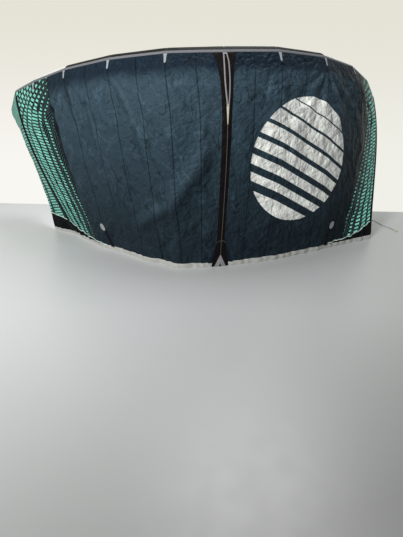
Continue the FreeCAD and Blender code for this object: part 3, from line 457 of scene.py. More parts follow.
class Rib:
    """One chordwise curve of the cloth's outer face."""

    def __init__(self, poles, out_top, out_foot):
        self.poles, self.out_top, self.out_foot = poles, out_top, out_foot
        spots = [self.point(n / 12) for n in range(13)]
        self.length = sum((b - a).length for a, b in zip(spots, spots[1:]))

    @classmethod
    def from_ends(cls, top, leave, foot, out_top, out_foot, flare):
        chord = top - foot
        back = (chord.normalized() + UP + out_foot * flare).normalized()
        return cls((top, top + leave * (FRONT_PULL * chord.length),
                    foot + back * (BACK_PULL * chord.length), foot), out_top, out_foot)

    def between(self, other, t):
        return Rib(tuple(mix(a, b, t) for a, b in zip(self.poles, other.poles)),
                   mix(self.out_top, other.out_top, t).normalized(),
                   mix(self.out_foot, other.out_foot, t).normalized())

    def normal(self, f):
        if f >= 1:
            return self.out_foot
        g = 1 - f
        tangent = Vector()
        for a, b, weight in zip(self.poles, self.poles[1:], (g * g, 2 * g * f, f * f)):
            tangent += (b - a) * weight
        tangent.normalize()
        out = mix(self.out_top, self.out_foot, f)
        return (out - tangent * out.dot(tangent)).normalized()

    def point(self, f, offset=0.0):
        g = 1 - f
        place = Vector()
        for pole, weight in zip(self.poles, (g ** 3, 3 * g * g * f, 3 * g * f * f, f ** 3)):
            place += pole * weight
        return place + self.normal(f) * offset if offset else place


def edge_steps(sign):
    return [step(sign, run, heading) for run, heading in zip(EDGE_RUNS[sign], EDGE_HEADINGS[sign])]


def edge_normal(sign, before, after):
    return (before.normalized() + after.normalized()).cross(UP).normalized() * sign


def strut_radius(f):
    return mix(STRUT_FRONT_RADIUS, STRUT_FOOT_RADIUS, f)


def strut_stand_off(f):
    crease = (edge_steps(-1)[0] * -1).angle(edge_steps(1)[0]) / 2
    return CLOTH + STRUT_GAP + strut_radius(f) / math.cos(crease)


def make_rings():
    """Rings 0 to 6 of each side, every normal pointing from the centre to the tip."""
    foot_out = edge_normal(1, edge_steps(-1)[0] * -1, edge_steps(1)[0])
    start = foot_out * strut_stand_off(1) + TUBE_START
    steps = {sign: [step(sign, *sizes) for sizes in zip(SEGMENT_LENGTHS, HEADINGS[sign], DROPS[sign])]
             for sign in (-1, 1)}
    across = steps[1][0].normalized() - steps[-1][0].normalized()
    rings = {}
    for sign in (-1, 1):
        centre = start
        rings[sign] = [Ring(sign, centre, across * sign, TUBE_RADII[0])]
        for i, run in enumerate(steps[sign], 1):
            centre = centre + run
            after = steps[sign][i] if i < TIP else run
            rings[sign].append(Ring(sign, centre, run.normalized() + after.normalized(), TUBE_RADII[i]))
    return rings


def make_ribs(rings):
    centre_out = edge_normal(1, edge_steps(-1)[0] * -1, edge_steps(1)[0])
    start = centre_out * strut_stand_off(1)
    ribs = {}
    for sign in (-1, 1):
        tops, leaves = [], []
        for ring, angle in zip(rings[sign], SEAM_ANGLES[sign]):
            tops.append(ring.centre + ring.radial(angle) * (ring.radius + SEAM_GAP + CLOTH))
            leaves.append(ring.radial(angle - 90))
        steps = edge_steps(sign)
        feet = [start]
        for run in steps:
            feet.append(feet[-1] + run)
        corner = tops[TIP] + step(sign, *TIP_CHORDS[sign])
        rise = corner - feet[TIP]
        steps.append(Vector((rise.x, rise.y, 0)))
        outs, flares = [ring.out for ring in rings[sign]], EDGE_FLARES[sign]
        table = {0: Rib.from_ends(tops[0], leaves[0], start, outs[0], centre_out, flares[0])}
        for i in range(1, TIP):
            table[i] = Rib.from_ends(tops[i], leaves[i], feet[i], outs[i],
                                     edge_normal(sign, steps[i - 1], steps[i]), flares[i])
        table[5.5] = Rib.from_ends((tops[5] + tops[6]) / 2, (leaves[5] + leaves[6]).normalized(),
                                   feet[TIP], (outs[5] + outs[6]).normalized(),
                                   edge_normal(sign, steps[TIP - 1], steps[TIP]), flares[6])
        table[6] = Rib.from_ends(tops[6], leaves[6], corner, outs[6], outs[6], flares[7])
        ribs[sign] = table
    return ribs


RINGS = make_rings()
RIBS = make_ribs(RINGS)


@functools.lru_cache(maxsize=None)
def rib_at(u):
    """The rib at any station: between two sewn ribs the cloth is ruled."""
    table, station = RIBS[-1 if u < 0 else 1], abs(u)
    if station in table:
        return table[station]
    low = max(s for s in table if s < station)
    high = min(s for s in table if s > station)
    return table[low].between(table[high], (station - low) / (high - low))


def across(u, f):
    """Metres across the cloth from the centre rib, positive to the right."""
    sign, rest, total = (-1 if u < 0 else 1), abs(u), 0.0
    for segment, run in zip(SEGMENT_LENGTHS, EDGE_RUNS[sign]):
        total += min(rest, 1.0) * mix(segment, run, f)
        rest -= min(rest, 1.0)
    return sign * total


def width_in_stations(u, f, width):
    i = min(int(abs(u)), TIP - 1)
    return width / mix(SEGMENT_LENGTHS[i], EDGE_RUNS[-1 if u < 0 else 1][i], f)


def casing_swell(sign, i, t, angle):
    """How far the inflated sleeve stands out from its straight cone in segment i."""
    sag = noise.noise(Vector((math.cos(angle) * 2, math.sin(angle) * 2, (i + t) * 3 * sign)))
    return CASING_BELLY * math.sin(math.pi * t) * (0.6 + 0.4 * math.sin(angle * 2 + i)) + CASING_SAG * sag


@functools.lru_cache(maxsize=None)
def seam_angle(u):
    """Angle, from the tube's outer side, at which the cloth really leaves the tube."""
    sign, i = (-1 if u < 0 else 1), min(int(abs(u)), TIP - 1)
    a, b, t = RINGS[sign][i], RINGS[sign][i + 1], abs(u) - i
    reach = rib_at(u).point(0) - mix(a.centre, b.centre, t)
    up, out = mix(a.up, b.up, t).normalized(), mix(a.out, b.out, t).normalized()
    return math.atan2(reach.dot(up), reach.dot(out))


def tube_point(u, width, offset=0.0):
    """A place on the sleeve, some metres up round the tube from the seam of the cloth."""
    sign, i = (-1 if u < 0 else 1), min(int(abs(u)), TIP - 1)
    a, b, t = RINGS[sign][i], RINGS[sign][i + 1], abs(u) - i
    angle = seam_angle(u) + width / mix(a.radius, b.radius, t)
    out = offset + max(casing_swell(sign, i, t, angle), 0)
    return mix(*(ring.centre + ring.radial(math.degrees(angle)) * (ring.radius + out) for ring in (a, b)), t)


print("leading edge", round(2 * sum(SEGMENT_LENGTHS), 2), "m, centre chord", round(rib_at(0).length, 2), "m")

# %% [markdown]
# ## Creases
#
# Cloth that is packed in a bag and then pulled tight keeps its creases.  A cloth simulation could
# make some, but it would have to be pinned along every seam and would still miss the sharp ones
# from packing.  So the relief of the cloth is a sum of the shapes it shows: a slow sway, long folds
# that run down the chord from the tabs, and a crumple of small flat facets.  It dies away where the
# cloth is sewn to something stiff, and every tape sewn on the cloth follows the same relief.

# %% Relief of the cloth
BAND_SHARE = 0.976
BATTENS = {-1: (2.71, 2.84), 1: (2.52, 2.60)}
POCKET_SHARE = 0.86
STRIP_HALF = .040
SLEEVE_STATION, SLEEVE_MIDDLE = 5, .011
# The relief dies away beside the strip, the tube, a sleeve and a pocket: where it ends and begins.
STRIP_CALM, TUBE_CALM, SLEEVE_CALM, POCKET_CALM = (STRIP_HALF, .13), (.012, .10), (.035, .10), (.02, .08)
ABOVE_POCKET = (POCKET_SHARE - .06, POCKET_SHARE - .02)
FOLD_ROOTS = ((-4, .5), (-3, 1.0), (-2, .8), (-1, .5), (1, .3), (2, 1.0), (3, .8), (4, .4))
# Ridges where the slack cloth is pushed up: lines through (across, down), height and half width.
RIDGES = ((((-.08, .66), (-.27, 1.04), (-.42, 1.20), (-.74, 1.37)), .050, .085),
          (((-.46, .62), (-.33, .93), (-.27, 1.04)), .012, .060),
          (((.22, 1.48), (.50, 1.28), (.88, 1.22)), .014, .060),
          (((.95, .34), (1.02, .60), (1.16, .98)), .012, .050))
# Heights of the other shapes in metres; a facet's height is given as a share of its size.
SWAY, BELLY, DRAPE, FOLD, PUCKER = .007, .003, .0035, .0090, .0030
FACET, LARGE_FACET, SMALL_FACET = .060, .23, .10


def calm(u, f):
    """1 in free cloth, and 0 where a strut, batten or seam holds it flat."""
    a = across(u, f)
    free = smooth(*STRIP_CALM, abs(a)) * smooth(*TUBE_CALM, f)
    sign = -1 if u < 0 else 1
    free *= smooth(*SLEEVE_CALM, abs(a - across(SLEEVE_STATION * sign, f) + sign * SLEEVE_MIDDLE))
    lower, upper = BATTENS[sign]
    line = mix(lower, upper, (BAND_SHARE - f) / (BAND_SHARE - POCKET_SHARE)) * sign
    off_pocket = smooth(*POCKET_CALM, abs(a - across(line, f)))
    return free * max(off_pocket, 1 - smooth(*ABOVE_POCKET, f))


def crumple(place, size):
    """Flat facets with creases between them, as a share of their size."""
    near, far = noise.voronoi(place / size)[0][:2]
    return far - near


def folds(f, a, b):
    """Long folds that spread from the roots of the tabs."""
    total = 0.0
    for root, strength in FOLD_ROOTS:
        aside, below = a - across(root, f), b - .05
        reach = math.hypot(aside, below)
        if reach < .9:
            angle = math.atan2(aside, max(below, .001))
            fan = math.sin(angle * 15 + root * 1.7 + 2.2 * noise.noise(Vector((a * 3, b * 2, root))))
            total += strength * fan * smooth(.03, .22, reach) * (1 - smooth(.25, .9, reach)) \
                * (1 - smooth(.5, 1.3, abs(angle)))
    return total


def ridges(a, b):
    """Height of the pushed-up ridges: round over the line, and dying away towards its ends."""
    total, here = 0.0, Vector((a, b))
    for points, height, width in RIDGES:
        best, last = (9.0, 0.0), len(points) - 1
        for n, (near, far) in enumerate(zip(points, points[1:])):
            line = Vector(far) - Vector(near)
            t = min(max((here - Vector(near)).dot(line) / line.length_squared, 0), 1)
            best = min(best, ((here - Vector(near) - line * t).length, (n + t) / last))
        away, share = best
        total += height * math.exp(-(away / width) ** 2) * (0.25 + 0.75 * math.sin(math.pi * share))
    return total


@functools.lru_cache(maxsize=None)
def relief(u, f):
    """How far the cloth stands out from its smooth shape, in metres."""
    free = calm(u, f)
    if free <= 0:
        return 0.0
    a, b = across(u, f), f * rib_at(u).length
    drift = Vector([noise.noise(Vector((a * 5, b * 5, layer))) for layer in (1.3, 8.9)] + [0]) * .05
    place = Vector((a, b * .8, 0)) + drift
    bay = math.sin(math.pi * ((abs(u) * 2) % 1.0)) ** 2
    sway = SWAY * noise.noise(Vector((a * 2.1, b * 1.4, 4.2))) + BELLY * bay
    drape = DRAPE * noise.noise(Vector((a * 11 + b * 1.2, b * 1.6, 2.4)))
    facets = FACET * crumple(place + Vector((0, 0, 3)), LARGE_FACET) * LARGE_FACET
    facets = (facets + FACET * crumple(place, SMALL_FACET) * SMALL_FACET) * (0.8 + 0.6 * f)
    pucker = PUCKER * math.sin(a * 75 + 3 * noise.noise(Vector((a * 6, 0, 5)))) * smooth(.88, .97, f)
    return free * (sway + drape * (1 + f) + FOLD * folds(f, a, b) + ridges(a, b) + facets + pucker)


def cloth_point(u, f, offset=0.0):
    return rib_at(u).point(f, offset + relief(u, f))


# %% [markdown]
# ## Sewing pieces
#
# Every piece of cloth starts as a flat grid, like cloth on a table, and each corner of the grid is
# then carried to its place on the kite.  The grid's own UV map keeps the metres on the table, so
# weave, stitches and prints stay the right size on the curved cloth.


# %% From a flat grid to a sewn piece
def sew(mesh, columns, rows, spot, offset=0.0, table=None, place=cloth_point):
    """Adds a grid to a bmesh and carries it to the kite.  spot turns shares of the grid, from left
    to right and from top to foot, into a place (u, f).  offset is how far it lies on the cloth, and
    table is the size of a cut strip, or turns a place into metres; without it the kite's are used.
    place carries (u, f, offset) to the kite, and is the cloth unless the piece lies on the tube."""
    layer = mesh.loops.layers.uv.get("cloth") or mesh.loops.layers.uv.new("cloth")
    verts = bmesh.ops.create_grid(mesh, x_segments=columns, y_segments=rows, size=0.5)["verts"]
    metres = {}
    for vert in verts:
        p, q = vert.co.x + 0.5, 0.5 - vert.co.y
        u, f = (round(share, 6) for share in spot(p, q))
        lift = offset(p, q) if callable(offset) else offset
        if callable(table):
            metres[vert] = table(u, f)
        elif table:
            metres[vert] = p * table[0], q * table[1]
        else:
            metres[vert] = across(u, f), f * rib_at(u).length
        vert.co = place(u, f, lift)
    for face in {face for vert in verts for face in vert.link_faces}:
        for loop in face.loops:
            loop[layer].uv = metres[loop.vert]
    return verts


def beside(u, f, distance):
    """A place some metres to the right of another."""
    return u + width_in_stations(u + math.copysign(1e-6, distance), f, distance), f


def straight_edge(start, end):
    """The places along a seam line, as a function of its share."""
    return lambda q: (mix(start[0], end[0], q), mix(start[1], end[1], q))


def between(near, far):
    """A spot function for cloth between two edges, each a function of the share from top to foot."""
    def spot(p, q):
        (u, f), (v, g) = near(q), far(q)
        return mix(u, v, p), mix(f, g, p)
    return spot


def along_rib(u, top, foot, near, far):
    """Cloth between two distances from a rib or from a line that strays from it, each distance a
    number or a function of the chord share."""
    def spot(p, q):
        f = mix(top, foot, q)
        low, high = (edge(f) if callable(edge) else edge for edge in (near, far))
        return beside(u(f) if callable(u) else u, f, mix(low, high, p))
    return spot


# %% Edges through named points
def through(*points):
    """A function that runs through (share, value) points, straight from one to the next."""
    def value(f):
        for (low, a), (high, b) in zip(points, points[1:]):
            if f <= high:
                break
        return mix(a, b, min(max((f - low) / (high - low), 0.0), 1.0))
    return value


def softened(edge, reach=.012):
    """Takes the corners off such a function, by an average over its neighbourhood."""
    return lambda f: sum(edge(f + d * reach) for d in (-2, -1, 0, 1, 2)) / 5


# %% From a bmesh to a piece
def piece_from(name, mesh, finish, thickness=0.0, sharp=35):
    """Turns a bmesh into a piece.  A thickness is added on the inside, so the outside stays put."""
    for face in mesh.faces:
        face.smooth = True
    data = bpy.data.meshes.new(name)
    mesh.to_mesh(data)
    mesh.free()
    piece = bpy.data.objects.new(name, data)
    scene.collection.objects.link(piece)
    if thickness:
        wall = piece.modifiers.new("thickness", "SOLIDIFY")
        wall.thickness, wall.offset = thickness, -1
        thick = bpy.data.meshes.new_from_object(piece.evaluated_get(bpy.context.evaluated_depsgraph_get()))
        piece.modifiers.clear()
        piece.data = thick
    piece.data.set_sharp_from_angle(angle=math.radians(sharp))
    piece.data.materials.clear()
    piece.data.materials.append(finish.material)
    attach(piece, "kite")
    print(f"{name}: {len(piece.data.polygons)} faces")
    return piece


# %% [markdown]
# ## Ripstop
#
# Canopy cloth is thin nylon with a grid of thicker threads every few millimetres.  Its dye is even,
# but each crease left by packing turns a small facet of it to or from the light, and that light and
# shade is painted into its colour.  The navy also has painted light and shade of larger folds, the
# tube's painted shadow and painted light shining through it.
# The big creases are in the mesh.  The small ones come from cell patterns, whose distance to the
# nearest cell edge is read as a height, and from noise folded at its middle into sharp valleys.

# %% Ripstop finishes
DISC_CENTRE, DISC_RADIUS, DISC_SHARE = (.655, .850), .500, 0.933
DISC_TILT, BAR_PITCH, BAR_REACH = math.radians(24), .118, .43
TUBE_SHADOW = (.130, .265)
NAVY, NAVY_SHADOW = display(39, 53, 62), display(14, 24, 33)
SILVER, SILVER_SHADOW = display(240, 242, 236), display(204, 206, 203)


def creased(finish, x, y, strength=1.0):
    """Height of small packing creases, in metres: large facets, two sizes of sharp valleys, and the
    grid of ripstop threads."""
    place = finish.warp(finish.join(x, y * 0.85), 6.0, 0.05)
    c, s = math.cos(math.radians(62)), math.sin(math.radians(62))
    along = finish.warp(finish.join((x * c + y * s) * 0.45, y * c - x * s), 6.0, 0.05)
    large = finish.cells(along, 7.0) * (0.0260 * strength) + finish.cells(place, 13.0) * (0.0085 * strength)
    wide = abs(finish.grain(place, 10.0, 1.0) - 0.5) * (0.040 * strength)
    small = abs(finish.grain(finish.warp(place, 15.0, 0.02), 26.0, 1.0) - 0.5) * (0.020 * strength)
    threads = ((x * 160.0).fract() < 0.16).larger((y * 160.0).fract() < 0.16) * 0.00003
    return large + (small + wide) + threads


def facet_light_and_shade(finish, x, y, depth):
    """Painted light and shade: a little lighter or darker from facet to facet, as each facet turns to or from
    the light, with the painted highlight of a crease line here and there and one set of painted dark crease
    lines.
    """
    place = finish.warp(finish.join(x, y * 0.85), 6.0, 0.05)
    cloud = finish.grain(finish.join(x, y), 2.2, 3.0)
    tone = 1.0 - depth + finish.grain(place, 17.0, 3.0) * depth + cloud * depth
    for angle, scale, limit, change in ((62, 9.0, .50, 2.2), (-38, 12.0, .53, 1.8), (80, 10.0, .50, -2.0)):
        c, s = math.cos(math.radians(angle)), math.sin(math.radians(angle))
        along = finish.warp(finish.join((x * c + y * s) * 0.50, y * c - x * s), 8.0, 0.04)
        line = 1.0 - abs(finish.grain(along, scale, 1.0) - 0.5).ramp(0.004, 0.034)
        wear_and_glint = finish.grain(along, 7.0, 1.0).ramp(limit, limit + 0.08)
        tone = tone + line * wear_and_glint * (depth * change)
    return tone


# Folds that catch the daylight on one side and lose it on the other: their two ends as (across, down)
# in metres, their half width, and how much they change the tone.
FOLD_LINES = (((-.08, .66), (-.40, 1.18), .105, .50), ((-.34, 1.12), (-.78, 1.38), .095, .46),
              ((-.86, .10), (-.66, .50), .034, .30), ((-.68, .44), (-.56, .92), .040, .26),
              ((-1.33, .12), (-1.21, .60), .040, .30), ((-1.12, .20), (-1.02, .78), .034, .24),
              ((-.36, 1.36), (-.50, 1.56), .060, -.36), ((.86, .12), (.98, .46), .034, .28),
              ((.33, .10), (.22, .52), .036, -.22), ((-.14, .30), (-.16, .95), .050, .22))


def fold_tone(finish, x, y):
    """Light above each fold line and dark below it, fading out sideways and at both ends."""
    tone = 1.0
    x = x + (finish.grain(finish.join(x, y), 5.0, 1.0) - 0.5) * 0.10
    for (ax, ay), (bx, by), width, strength in FOLD_LINES:
        length = math.hypot(bx - ax, by - ay)
        c, s = (bx - ax) / length, (by - ay) / length
        along, aside = (x - ax) * c + (y - ay) * s, (y - ay) * (c / width) - (x - ax) * (s / width)
        if c < 0:
            aside = aside * -1.0
        ends = along.ramp(0.0, length * 0.25) * (1.0 - along.ramp(length * 0.75, length))
        lit = (1.0 - abs(aside + 0.55) / 0.75).larger(0.0)
        dim = (1.0 - abs(aside - 0.35) / 0.65).larger(0.0)
        tone = tone + (lit * 0.8 - dim) * ends * strength
    return tone


def navy_ripstop(name, tone=1.0):
    """The middle's cloth with its print; a darker tone of the same is folded into the seams."""
    finish = Finish(name, "navy_ripstop", Specular_IOR_Level=0.04)
    x, y = finish.cloth_place()
    tube_shadow = (y + finish.grain(finish.join(x, y), 5.0) * 0.08).ramp(*TUBE_SHADOW)
    # Daylight behind the cloth shines through it, most below the tube and least near the ground.
    through_light = (1.80 - y * 0.85).larger(0.58) * (1.0 - x.ramp(0.92, 1.32) * 0.42)
    folded = fold_tone(finish, x, y)
    # Painted light and shade: the tube's shadow near the top, the facets and folds turned to or from the
    # light, and the light through the cloth.
    colour = finish.shade(finish.mix(tube_shadow, NAVY_SHADOW, NAVY),
                          facet_light_and_shade(finish, x, y, 0.18) * through_light * folded * tone)
    # The print: a round silver field with straight bars, which grow wider from one to the next.
    right, down = (x - DISC_CENTRE[0]) / DISC_SHARE, y - DISC_CENTRE[1]
    inside = (right * right + down * down) < DISC_RADIUS ** 2
    slide = right * -math.sin(DISC_TILT) + down * math.cos(DISC_TILT)
    bar_share = 0.32 + slide * 0.60
    bars = ((slide / BAR_PITCH + 0.32).fract() < bar_share) * (abs(slide) < BAR_REACH)
    silver = inside * (1 - bars)
    pale = finish.mix(finish.grain(finish.join(x, y), 9.0, 3.0).ramp(0.35, 0.7), SILVER, SILVER_SHADOW)
    # Painted light and shade of the facets on the print as well.
    pale = finish.shade(pale, facet_light_and_shade(finish, x, y, 0.10) * (0.5 + 0.5 * tone))
    finish.surface(colour=finish.mix(silver, colour, pale), roughness=0.46 - silver * 0.08,
                   height=creased(finish, x, y))
    return finish


# The mint, and the same mint in painted shade.
MINT, MINT_SHADE = display(136, 210, 192), display(106, 176, 160)
TIP_DARK, TIP_LINE, TIP_TEAL = display(8, 16, 21), display(52, 78, 80), display(88, 146, 132)
COLUMN_WIDTH, DASH_PITCH = .106, .0285


def mint_ripstop():
    """Tip cloth: slanted dashes in columns with hatching between them, dots towards the navy."""
    finish = Finish("mint_ripstop", "mint_ripstop", Specular_IOR_Level=0.08)
    inwards, y = finish.cloth_place()
    # The columns follow the sleeve and, near the tube, bend over towards the middle.
    bend = (0.42 - y).larger(0.0)
    column = (inwards - bend * bend * 2.6) / COLUMN_WIDTH
    part = column.fract()
    # On the right tip the dashes are a little longer and lean less.
    room_place = finish.split(finish.space())[0]
    right_side = room_place > 0.0
    step = y / (right_side * 0.0075 + DASH_PITCH) + finish.grain(finish.join(inwards * 0.6, y), 2.4) * 0.6
    # Each column is a row of dashes and a dark hatched row that leans the other way.  Outwards the
    # dashes are long; beside the seam only dots are left of them.
    seam = 0.585 - y * 0.10
    full = (seam - inwards + finish.grain(finish.join(inwards, y), 6.0) * 0.05).ramp(0.04, 0.34)
    width = 0.20 + full * 0.50
    dash = ((step - part * (1.6 - right_side * 0.7)).fract() < 0.42 + full * 0.18) * (part < width)
    shown = (seam - inwards).ramp(-0.01, 0.03)
    line = ((step + part * 2.6).fract() < 0.28) * (part > width)
    ground = finish.mix(line * shown, TIP_DARK, TIP_LINE)
    # Painted shade: random patches of the mint are darker, as crinkled cloth in shade.
    mint = finish.mix(finish.grain(finish.join(inwards, y), 12.0, 3.0).ramp(0.3, 0.7), MINT, MINT_SHADE)
    printed = finish.mix(dash * shown, ground, mint)
    # Beyond the sleeve the cloth is plain near the tube.
    plain = (inwards < -0.002) * (y < 0.30)
    # The right tip faces the brighter half of the room.
    room_side = 1.0 + room_place.ramp(0.8, 1.8) * 0.7
    # Painted light and shade of the facets, lighter on the tip that faces the brighter half of the room.
    tone = facet_light_and_shade(finish, inwards, y, 0.10) * room_side
    finish.surface(colour=finish.shade(finish.mix(plain, printed, TIP_TEAL), tone), roughness=0.48,
                   height=creased(finish, inwards, y, 0.8))
    return finish


def plain_ripstop(name, slot, tone):
    finish = Finish(name, slot, Specular_IOR_Level=0.05)
    x, y = finish.cloth_place()
    # Painted light and shade of the facets over the cloth's own tone.
    finish.surface(colour=finish.shade(tone, facet_light_and_shade(finish, x, y, 0.15)), roughness=0.55,
                   height=creased(finish, x, y, 0.5))
    return finish


NAVY_CLOTH, NAVY_SEAM = navy_ripstop("navy_ripstop"), navy_ripstop("navy_seam", 0.42)
MINT_CLOTH = mint_ripstop()
BLACK_CLOTH = plain_ripstop("black_ripstop", "black_ripstop", display(8, 10, 13))
print("ripstop finishes made")

# %% [markdown]
# ## Canopy
#
# The real canopy is many panels, but once sewn they hang as one sheet, and the creases run across
# the seams.  The middle is therefore one grid from tip panel to tip panel, carried to the ribs and
# given its relief in one go.  The mint tips are sheets of their own that share its edges.

# %% Middle and tips
CLOTH_THIN = .0012
# Station of the seam between navy and mint, through (chord share, station) points.
TIP_SEAMS = {-1: ((0, 3.53), (.14, 3.47), (.27, 3.33), (.44, 3.35), (.72, 3.40), (.88, 3.36), (1, 3.25)),
             1: ((0, 3.45), (.18, 3.06), (.31, 3.08), (.42, 3.18), (.58, 3.14), (.77, 3.30), (1, 3.24))}


def station_line(sign, station):
    """A line down the cloth for the edge of a sheet, at a station or along the tip's seam."""
    if station == "seam":
        edge = softened(through(*TIP_SEAMS[sign]), .03)
        return lambda q: (sign * edge(q * BAND_SHARE), q * BAND_SHARE)
    return straight_edge((sign * station, 0), (sign * station, BAND_SHARE))


def whole_cloth(name, near, far, columns, rows, finish, *nodes, table=None):
    mesh = bmesh.new()
    sew(mesh, columns, rows, between(near, far), table=table)
    cloth = piece_from(name, mesh, finish, thickness=CLOTH_THIN, sharp=28)
    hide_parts(*nodes)
    return cloth


canopy = whole_cloth("canopy_middle", station_line(-1, "seam"), station_line(1, "seam"), 260, 170, NAVY_CLOTH,
                     *(f"canopy_{side}_{n}" for side in ("left", "right") for n in (1, 2, 3, 4)))


def from_sleeve(u, f):
    """Metres inwards from the long tip batten, and metres down."""
    edge = math.copysign(SLEEVE_STATION, u)
    return abs(across(edge, f)) - abs(across(u, f)), f * rib_at(u).length


for side, word in SIDES:
    ends = (station_line(side, TIP), station_line(side, "seam"))
    whole_cloth(f"tip_cloth_{word}", *ends[::-side], 104, 160, MINT_CLOTH,
                                   *(f"tip_panel_{word}_{n}" for n in (1, 2, 3)), table=from_sleeve)

# %% [markdown]
# ## Tapes, hem and tip wedges
#
# Where the cloth meets the tube and where it stands on the ground, it is folded into heavier woven
# tape.  The hem has been pulled by its thread, so it ruffles on the slant.  At the tips a black
# wedge of tougher cloth lies over the corner, with a thin pale piping along its upper edge.


# %% Woven tape finishes
def woven(name, slot, tone):
    """Plain weave, a little worn."""
    finish = Finish(name, slot, Specular_IOR_Level=0.1)
    x, y = finish.cloth_place()
    weave = (x * 5200.0).sine() * (y * 5200.0).sine() * 0.00004
    wear = finish.grain(finish.join(x, y), 30.0, 4.0)
    return finish.surface(colour=finish.shade(tone, 0.86 + wear * 0.28), roughness=0.7,
                          height=weave + wear * 0.0009)


tape_finish = woven("seam_tape", "grey_dacron", display(106, 107, 111))
hem_finish = woven("hem_tape", "grey_dacron", display(172, 172, 168))
piping_finish = woven("wedge_piping", "grey_dacron", display(196, 214, 206))

# %% Tape along the tube and hem along the ground
LOW, TAPE, HEM_THICK, BAND_PROUD = .0003, .0012, .0026, .0006
TOP_SHARE, TAPE_LIFT, TAPE_WIDTH, TAPE_LOW, TAPE_CROWN = .0015, .0014, .021, .0005, .0014
HEM_LENGTH, HEM_LAP, RUFFLE_PITCH, RUFFLE, HEM_BELLY = 5.2, .002, .052, .0017, .0012


def hem_ruffle(p, q):
    """Slanted ruffles that the hem's thread has drawn up, except under the strip's foot."""
    place = p * HEM_LENGTH
    away = smooth(.1, .4, abs(mix(-TIP, TIP, p)))
    slack = (0.55 + 0.45 * noise.noise(Vector((place * 3.1, 0, 6)))) * away
    drift = 2.5 * noise.noise(Vector((place * 5, 0, 2)))
    wave = math.sin(2 * math.pi * (place / RUFFLE_PITCH - q * 0.9) + drift)
    return BAND_PROUD + RUFFLE * slack * (1 + wave) * (4 * q * (1 - q)) ** 0.5 + HEM_BELLY * (1 - q) * q


mesh = bmesh.new()
sew(mesh, 380, 6, lambda p, q: (mix(-TIP, TIP, p), TAPE_LIFT + TAPE_WIDTH * (1 - q)),
    lambda p, q: TAPE_LOW + TAPE_CROWN * smooth(0, .12, min(q, 1 - q)),
    table=lambda u, width: (across(u, 0), width), place=tube_point)
leading_tape = piece_from("leading_seam_tape", mesh, tape_finish, thickness=TAPE)
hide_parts("leading_edge_tape_left", "leading_edge_tape_right")

mesh = bmesh.new()
sew(mesh, 640, 8, lambda p, q: (mix(-TIP, TIP, p), mix(BAND_SHARE - HEM_LAP, 1, q)), hem_ruffle)
hem = piece_from("ground_hem", mesh, hem_finish, thickness=HEM_THICK)
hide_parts("trailing_edge_band_left", "trailing_edge_band_right")

# %% Tip wedges and their piping
WEDGE_LINE = {-1: ((2.85, .975), (3.5, .962), (4, .942), (5, .885), (5.5, .86), (6, .80)),
              1: ((2.5, .972), (3.5, .958), (4, .940), (5, .885), (5.5, .86), (6, .80))}
WEDGE_FOOT, WEDGE_THICK, SLOW_WAVE, QUICK_WAVE = .978, .0011, .0022, .0016
PIPING_WIDTH, PIPING_THICK = .0095, .0014


def wedge_edge(u):
    """Chord share of the wedge's upper edge: through named points, with the sewer's small waves."""
    line, station = WEDGE_LINE[-1 if u < 0 else 1], abs(u)
    for (low, f), (high, g) in zip(line, line[1:]):
        if station <= high:
            break
    wave = SLOW_WAVE * math.sin(station * 14) + QUICK_WAVE * math.sin(station * 31 + 1)
    return mix(f, g, (station - low) / (high - low)) + wave * smooth(line[0][0], 3.2, station)


corners = {}
for side, word in SIDES:
    first, last = sorted((side * WEDGE_LINE[side][0][0], side * TIP))

    def wedge_spot(p, q):
        u = mix(first, last, p)
        return u, mix(wedge_edge(u), WEDGE_FOOT, q)

    mesh = bmesh.new()
    sew(mesh, 150, 14, wedge_spot, WEDGE_THICK)
    wedge = piece_from(f"corner_wedge_{word}", mesh, BLACK_CLOTH, thickness=WEDGE_THICK)
    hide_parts(f"tip_wedge_{word}")
    corners[word] = [wedge]

    def piping_spot(p, q):
        u = mix(first, last, p)
        return u, wedge_edge(u) + (q - 0.5) * PIPING_WIDTH / rib_at(round(u, 6)).length

    mesh = bmesh.new()
    sew(mesh, 220, 4, piping_spot, lambda p, q: TAPE + PIPING_THICK * math.sin(math.pi * q))
    corners[word].append(piece_from(f"corner_piping_{word}", mesh, piping_finish, thickness=PIPING_THICK))

# %% [markdown]
# ## Seams
#
# Panels are joined by a felled seam: both edges are folded into each other and sewn down twice.  It
# is a narrow raised ridge that the eye reads by its shadow.  Each one is a strip under a centimetre
# wide with a rounded section, which follows the creases of the cloth below it.

# %% Panel seams
SEAM_HALF, SEAM_THICK, SEAM_LOW, SEAM_RISE = .006, .0007, .0002, .0010
# No panel seam runs under the strip, where a tip begins, or under a sleeve.
UNSEAMED = (0, 3.5, SLEEVE_STATION)


def felled(p, q):
    """Rounded section of a seam."""
    return SEAM_LOW + SEAM_RISE * math.sin(math.pi * p)


middle_mesh, tip_mesh = bmesh.new(), bmesh.new()
for half_station in range(-2 * TIP + 1, 2 * TIP):
    u = half_station / 2
    if abs(u) in UNSEAMED:
        continue
    at_tip = abs(u) > 3.5
    half = SEAM_HALF * (0.7 if u == int(u) else 0.6)
    stray = 0 if at_tip else math.copysign(.03 + .06 * abs(u), u)
    sew(tip_mesh if at_tip else middle_mesh, 4, 170,
        along_rib(lambda f: u - stray * smooth(0, .33, f), TOP_SHARE, wedge_edge(u) if at_tip else BAND_SHARE,
                  -half, half),
        felled, table=from_sleeve if at_tip else None)
seams = piece_from("panel_seams", middle_mesh, NAVY_SEAM, thickness=SEAM_THICK)
tip_panel_seams = piece_from("tip_panel_seams", tip_mesh, MINT_CLOTH, thickness=SEAM_THICK)

